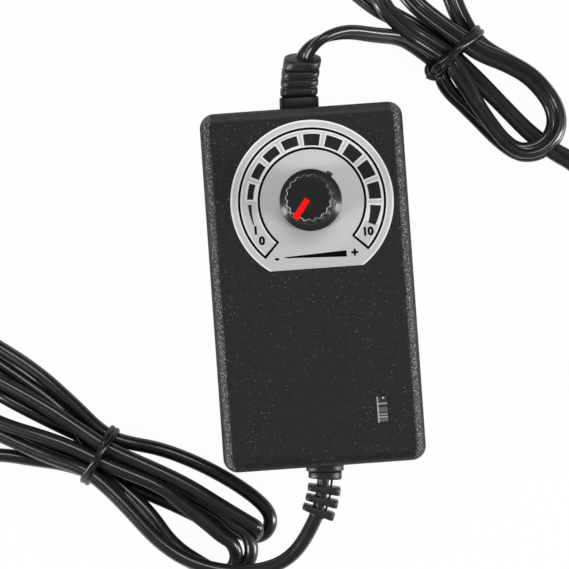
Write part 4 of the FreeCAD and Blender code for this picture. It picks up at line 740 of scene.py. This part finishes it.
def hank_route(hank, first_way, strands, lobes, level):
    """Control points through every strand (v, z, roll at the tie) and the lobe that follows it.

    A lobe is its reach, then v, z and roll on the way out and on the way back, then the places
    (u, v, z, roll) that the strand passes between the tie and the lobe, out and back. The
    first lobes, as many as level says, keep their strands level up to the bend."""
    route = []
    for index, (v, z, roll) in enumerate(strands):
        way = first_way if index % 2 == 0 else -first_way
        route.append((hank.at(0, v, z), roll))
        if index == len(lobes):
            break
        reach, v_out, z_out, roll_out, v_back, z_back, roll_back, vias_out, vias_back = lobes[index]
        round_off = abs(v_out - v_back) / 2
        corner = 0.41 * round_off
        toward = 1 if v_back > v_out else -1
        wide = reach - round_off
        mid_v, mid_z = (v_out + v_back) / 2, (z_out + z_back) / 2
        for u, v_via, z_via, roll_via in vias_out:
            route.append((hank.at(way * u, v_via, z_via), roll_via))
        if index < level:
            route.append((hank.at(way * (wide - 1.5), v_out, z_out), roll_out))
        route.append((hank.at(way * (wide + corner), v_out, z_out), roll_out))
        for side, z_side in ((-1, (z_out + mid_z) / 2), (1, (z_back + mid_z) / 2)):
            route.append((hank.at(way * reach, mid_v + side * toward * corner, z_side),
                          (roll_out + roll_back) / 2))
        route.append((hank.at(way * (wide + corner), v_back, z_back), roll_back))
        if index < level:
            route.append((hank.at(way * (wide - 1.5), v_back, z_back), roll_back))
        for u, v_via, z_via, roll_via in vias_back:
            route.append((hank.at(way * u, v_via, z_via), roll_via))
    return route


def smooth_line(name, points):
    """A spline of order three through control points in millimetres, as an object in metres."""
    curve = bpy.data.curves.new(name, "CURVE")
    curve.dimensions = "3D"
    curve.resolution_u = 12
    spline = curve.splines.new("NURBS")
    spline.points.add(len(points) - 1)
    for place, point in zip(spline.points, points):
        place.co = (point[0] * mm, point[1] * mm, point[2] * mm, 1.0)
    spline.order_u = 3
    spline.use_endpoint_u = True
    made = bpy.data.objects.new(name, curve)
    scene.collection.objects.link(made)
    return made


def sampled(name, points):
    """The places that a bevel-less spline through the points gives, in metres."""
    made = smooth_line(name, points)
    mesh = bpy.data.meshes.new_from_object(made.evaluated_get(bpy.context.evaluated_depsgraph_get()))
    places = [v.co.copy() for v in mesh.vertices]
    bpy.data.objects.remove(made)
    bpy.data.meshes.remove(mesh)
    return places


def flat_cord(name, route):
    """A figure of eight cord along a route of (point, roll), its wide side level where roll is 0."""
    places = sampled(name + "_line", [p for p, _ in route])
    rolls = sampled(name + "_roll", [(roll, 0, 0) for _, roll in route])
    core, apart, waist = 1.40, 1.35, 1.0
    outline = []
    for side in (1, -1):
        for k in range(13):
            turn = math.radians(-142 + 284 * k / 12)
            outline.append((side * (apart + core * math.cos(turn)), side * core * math.sin(turn)))
        outline.append((0.0, side * waist))
    rings = []
    for i, place in enumerate(places):
        before, after = places[max(0, i - 1)], places[min(len(places) - 1, i + 1)]
        heading = (after - before).normalized()
        across = heading.cross(Vector((0, 0, 1))).normalized()
        up = across.cross(heading)
        roll = math.radians(rolls[i].x / mm)
        wide = across * math.cos(roll) + up * math.sin(roll)
        thin = up * math.cos(roll) - across * math.sin(roll)
        rings.append([place + wide * (x * mm) + thin * (y * mm) for x, y in outline])
    return skinned(name, rings), places


ac_hank = HankFrame(46.3, 64.1, -50.5)
ac_strands = [(-6.0, 3.2, 125), (5.9, 3.4, 190), (-3.2, 6.9, 190), (3.2, 7.0, 180), (-2.0, 3.3, 180)]
ac_lobes = [(37.2, -8.6, 2.2, 118, 9.7, 2.2, 188,
             [(2.5, -8.4, 3.0, 122), (7.0, -9.4, 2.6, 118), (13.0, -8.9, 2.4, 118)],
             [(21.0, 11.1, 2.2, 188), (13.0, 8.6, 3.0, 188), (5.0, 6.0, 3.4, 190)]),
            (31.5, 14.0, 6.0, 195, -8.0, 13.0, 205,
             [(2.0, 6.2, 3.4, 190), (9.0, 8.2, 3.8, 192), (14.0, 10.4, 4.6, 195)],
             [(13.5, -7.4, 11.6, 200), (7.0, -5.2, 9.0, 195)]),
            (36.3, -8.4, 5.2, 232, 9.2, 5.2, 188,
             [(3.0, -3.9, 6.9, 190), (10.0, -5.4, 6.4, 205), (17.0, -6.9, 5.6, 232)],
             [(21.0, 10.4, 5.4, 186), (13.0, 8.1, 6.4, 186), (5.0, 4.1, 7.0, 180)]),
            (76.0, 7.4, 1.8, 180, -10.6, 1.6, 180,
             [(4.0, 2.3, 7.0, 180), (10.0, 1.2, 6.9, 180), (18.0, 0.1, 6.6, 180), (32.0, 2.0, 4.0, 180)],
             [(29.0, -9.2, 2.4, 180), (16.4, -5.0, 4.0, 180), (6.0, -2.2, 3.6, 180)])]
ac_mouth = Vector((88.2, -5.0, 6.3))
ac_end, ac_heading = ac_path(ac_relief_length * mm)
ac_end = ac_end / mm
ac_route = [(ac_end - ac_heading * 3.0, 10), (ac_end + ac_heading * 1.6 + Vector((0.6, 0, 0)), 50),
            (Vector((6.1, 67.3, 22.2)), 75), (Vector((10.2, 69.1, 21.6)), 95), (Vector((15.5, 69.9, 19.2)), 112),
            (Vector((22.6, 69.0, 14.2)), 116), (ac_hank.at(-13.9, -9.8, 9.2), 116),
            (ac_hank.at(-8.5, -7.8, 6.2), 118), (ac_hank.at(-3.0, -6.6, 4.0), 122)]
ac_route += hank_route(ac_hank, 1, ac_strands, ac_lobes, 0)
ac_route += [(ac_hank.at(5.0, -1.7, 3.2), 190), (ac_hank.at(12.0, -1.2, 2.8), 205),
             (ac_hank.at(20.0, -1.0, 2.4), 216), (ac_hank.at(31.0, -0.9, 2.3), 214),
             (ac_hank.at(40.0, 0.6, 2.0), 200), (ac_hank.at(46.0, 2.8, 1.8), 186),
             (Vector((84.4, 23.0, 2.0)), 180), (Vector((87.6, 13.0, 4.0)), 180),
             (ac_mouth + Vector((0, 8.2, 0)), 180), (ac_mouth - Vector((0, 3.0, 0)), 180)]
ac_cord, ac_line = flat_cord("mains_cord", ac_route)
cord_skin.dress(ac_cord)
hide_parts("ac_cord_lead", "ac_cord_hank", "ac_cord_tail")


def smooth_tube(name, points, radius):
    """A round cord or wire along a spline through control points in millimetres."""
    made = smooth_line(name, points)
    for point in made.data.splines[0].points:
        point.radius = radius * mm
    made.data.bevel_depth = 1.0
    made.data.bevel_resolution = 5
    made.data.use_fill_caps = True
    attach(made, "root")
    return made


# Low voltage cord: a round two core cord in the same glossy PVC, in a looser hank of nine strands.
# The letters printed along the real one are left off.

dc_hank = HankFrame(-63.5, -43.5, -33.5)
dc_strands = [(-5.2, 9.8, 0), (3.4, 8.9, 0), (1.0, 5.4, 0), (-1.0, 9.2, 0), (-4.9, 5.8, 0), (2.0, 2.2, 0),
              (-2.0, 2.1, 0), (5.9, 4.4, 0), (-5.9, 2.1, 0)]
dc_lobes = [(47.0, -9.6, 5.6, 0, 4.6, 7.0, 0, [(4.0, -5.4, 9.4, 0), (13.6, -7.6, 7.6, 0)],
             [(20.0, 5.0, 8.4, 0), (5.0, 3.8, 8.8, 0)]),
            (49.7, 4.4, 7.2, 0, 0.8, 3.4, 0, [(5.0, 3.6, 8.8, 0), (24.0, 5.4, 8.2, 0), (36.0, 4.8, 8.0, 0)],
             [(24.0, 1.6, 4.0, 0), (5.0, 1.0, 5.2, 0)]),
            (46.0, 8.4, 3.6, 0, -5.8, 6.2, 0, [(5.0, 1.6, 5.2, 0), (16.0, 6.4, 4.4, 0)],
             [(29.0, -5.9, 7.6, 0), (13.5, -2.2, 9.0, 0), (5.0, -1.2, 9.2, 0)]),
            (48.6, -2.8, 7.4, 0, -14.4, 2.6, 0,
             [(5.0, -0.6, 9.2, 0), (19.5, 1.3, 9.0, 0), (27.4, -0.2, 8.6, 0), (37.0, -1.8, 8.0, 0)],
             [(30.0, -13.8, 2.4, 0), (18.0, -10.0, 2.4, 0), (8.0, -6.2, 4.8, 0)]),
            (45.0, -8.0, 2.2, 0, 0.8, 2.2, 0, [(5.0, -4.9, 5.6, 0), (20.0, -7.4, 2.4, 0)],
             [(30.0, 0.8, 4.4, 0), (13.8, 1.4, 3.6, 0), (5.0, 2.0, 2.4, 0)]),
            (51.6, 1.4, 5.4, 0, -12.6, 6.0, 0, [(5.0, 1.8, 2.4, 0), (26.0, 2.4, 4.6, 0), (38.0, 2.8, 5.4, 0)],
             [(31.0, -12.2, 6.0, 0), (20.0, -7.0, 5.0, 0), (8.0, -4.6, 2.6, 0)]),
            (48.0, 9.0, 2.2, 0, 12.8, 4.6, 0, [(5.0, 0.0, 2.2, 0), (20.0, 6.6, 2.2, 0)],
             [(28.0, 12.2, 5.6, 0), (14.0, 9.0, 5.0, 0), (5.0, 6.4, 4.6, 0)]),
            (52.2, 9.6, 2.2, 0, 0.4, 2.2, 0,
             [(5.0, 6.8, 4.2, 0), (14.0, 9.8, 2.6, 0), (25.0, 11.4, 2.2, 0), (35.0, 11.7, 2.2, 0),
              (43.5, 11.1, 2.2, 0)],
             [(36.0, -1.8, 2.2, 0), (26.0, -2.2, 2.2, 0), (8.0, -4.4, 2.2, 0)])]
dc_end, dc_heading = dc_path(dc_relief_length * mm)
dc_end = dc_end / mm
dc_route = [dc_end - dc_heading * 3.0, dc_end + dc_heading * 5.5, Vector((-12.0, -75.6, 15.4)),
            Vector((-20.5, -78.3, 14.2)), Vector((-30.5, -77.8, 13.2)), dc_hank.at(37.0, -12.8, 12.4),
            dc_hank.at(29.2, -12.6, 12.0), dc_hank.at(22.3, -11.0, 11.6), dc_hank.at(15.0, -8.6, 11.0),
            dc_hank.at(7.0, -6.4, 10.2)]
dc_route += [point for point, _ in hank_route(dc_hank, -1, dc_strands, dc_lobes, 7)]
dc_plug_frame = HankFrame(-63.5, -43.5, -29.4)
dc_mouth = dc_plug_frame.at(-39.0, -15.4, 4.8)
dc_route += [dc_hank.at(-8.0, -7.6, 2.2), dc_hank.at(-16.0, -10.8, 2.3),
             dc_hank.at(-24.0, -13.6, 3.0), dc_plug_frame.at(-32.5, -15.4, 4.8), dc_mouth - dc_plug_frame.u * 3.0]
dc_cord = smooth_tube("low_voltage_cord", dc_route, 2.0)
cord_skin.dress(dc_cord)
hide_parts("dc_cord_lead", "dc_cord_hank", "dc_cord_tail")


# Wire ties: a soft steel wire in black plastic, wound twice round each hank so that it pinches the
# strands together. The mains cord's one ends in a loose curl.

tie_skin = Finish("tie_coating", (0.016, 0.016, 0.016), 0.3)
tie_mottle = tie_skin.noise(700.0, 3.0)
tie_skin.set("Roughness", 0.16 + tie_mottle * 0.12)
tie_skin.set("Base Color", tie_skin.mix(tie_mottle, (0.007, 0.007, 0.007, 1.0), (0.018, 0.018, 0.018, 1.0)))
tie_skin.bump(tie_mottle, 0.00002)


def wound_tie(name, hank, left, right, high, radius, curl):
    """Two turns of wire round a hank, in millimetres, that cross on top; one end curls at the left."""
    points = [hank.at(0.2, 0.0, 0.9)]
    for turn, side in enumerate((1, -1)):
        lift = 1.5 * turn
        aside = radius * 0.8 * side
        points += [hank.at(-aside, right - 1.2, 0.9), hank.at(-aside, right, 3.0),
                   hank.at(-aside, right, high * 0.62), hank.at(-aside, right - 2.4, high * 0.92),
                   hank.at(-aside * 0.5, (left + right) / 2 + 3.0, high + lift * 0.6),
                   hank.at(0.0, (left + right) / 2, high + lift),
                   hank.at(aside * 0.5, (left + right) / 2 - 3.0, high + lift * 0.6),
                   hank.at(aside, left + 1.6, high * 0.85), hank.at(aside, left, high * 0.5)]
        if turn == 0 or not curl:
            points += [hank.at(aside, left, 2.4), hank.at(aside * 0.5, left + 1.6, 0.9)]
    if curl:
        for step in range(9):
            around = math.radians(150 + 50 * step)
            points.append(hank.at(curl * math.sin(around) - 0.6, left + 0.6 + curl * math.cos(around),
                                  high * 0.45 - 0.35 * step))
    return smooth_tube(name, points, radius)


ac_tie = wound_tie("mains_hank_tie", ac_hank, -9.0, 8.6, 9.6, 0.95, 2.1)
dc_tie = wound_tie("low_voltage_hank_tie", dc_hank, -8.6, 8.4, 12.4, 0.85, 0)
for tie, node in ((ac_tie, "ac_tie"), (dc_tie, "dc_tie")):
    tie_skin.dress(tie)
    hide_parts(node)


# Mains plug: two flat nickel plated blades moulded into a soft black body with a ribbed neck, at the
# free end of the flat cord. It has no marking.

def plug_line(distance):
    return ac_mouth * mm + Vector((0, -distance, 0)), Vector((0, -1, 0))


plug_stations = [(0.0, 6.6, 5.0, 2.2, 0), (0.4, 7.2, 5.6, 2.4, 0)]
for k in range(4):
    foot = 0.85 + 2.5 * k
    plug_stations += rib(foot, foot + 1.5, 9.4, 7.6, 1.9)
    plug_stations += [(foot + 1.6, 7.2, 6.0, 2.4, 0), (foot + 2.35, 7.2, 6.0, 2.4, 0)]
plug_stations = plug_stations[:-1] + [
    (10.6, 13.0, 9.0, 2.6, 0), (11.6, 18.0, 11.0, 3.0, 0), (13.0, 20.8, 12.2, 3.4, 0), (15.0, 21.8, 12.5, 3.6, 0),
    (17.0, 22.0, 12.6, 3.6, 0), (24.0, 21.2, 11.6, 3.2, 0), (30.0, 21.4, 11.8, 3.2, 0), (34.5, 22.0, 12.5, 3.4, 0),
    (37.0, 22.0, 12.6, 3.4, 0), (37.6, 21.6, 12.2, 3.4, 0), (38.0, 20.6, 11.2, 3.2, 0)]
ac_plug = moulded("mains_plug_body", plug_line, Vector((1, 0, 0)), plug_stations)
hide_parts("ac_plug_body")
relief_skin.dress(ac_plug)
blade_skin = Finish("nickel_plate", (0.72, 0.70, 0.66), 0.22, 1.0)
blade_scuff = blade_skin.noise(220.0, 4.0)
blade_skin.set("Roughness", 0.14 + blade_scuff * 0.22)
blade_skin.set("Base Color", blade_skin.mix(blade_scuff, (0.64, 0.62, 0.57, 1.0), (0.80, 0.78, 0.74, 1.0)))
blade_skin.bump(blade_scuff, 0.00001)
blade_skin.dress("ac_plug_blades", "dc_plug_barrel")


# Barrel plug: a nickel plated 5.5 mm barrel round a black insulator with its centre hole, in a round
# moulded handle with a ribbed neck, at the free end of the round cord.

dc_out = -dc_plug_frame.u


def barrel_line(distance):
    return dc_mouth * mm + dc_out * distance, dc_out


barrel_stations = [(0.0, 5.0, 5.0, 2.5, 0), (0.5, 5.6, 5.6, 2.8, 0)]
for k in range(3):
    foot = 2.0 + 2.6 * k
    size = 6.8 + 0.6 * k
    neck = 5.8 + 0.4 * k
    barrel_stations += rib(foot, foot + 1.3, size, size, size / 2, edge=0.3)
    barrel_stations += [(foot + 1.4, neck, neck, 3.2, 0)]
barrel_stations += [(9.6, 7.2, 7.2, 3.6, 0), (10.5, 8.8, 8.8, 4.4, 0), (11.4, 9.2, 9.2, 4.6, 0),
                    (15.5, 9.0, 9.0, 4.5, 0), (21.0, 9.0, 9.0, 4.5, 0), (25.8, 9.2, 9.2, 4.6, 0),
                    (26.6, 9.0, 9.0, 4.5, 0), (26.97, 8.2, 8.2, 4.1, 0)]
dc_plug = moulded("barrel_plug_handle", barrel_line, Vector((0, 0, 1)), barrel_stations)
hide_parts("dc_plug_body")
relief_skin.dress(dc_plug)
plain_finish("plug_insulator", (0.02, 0.02, 0.02), 0.3, 0.0, 900.0, 0.15, 0.00001).dress("dc_plug_insulator")

tuple((ac_end - ac_heading * 3.0) * mm)
tuple((dc_end - dc_heading * 3.0) * mm)

bpy.context.view_layer.update()
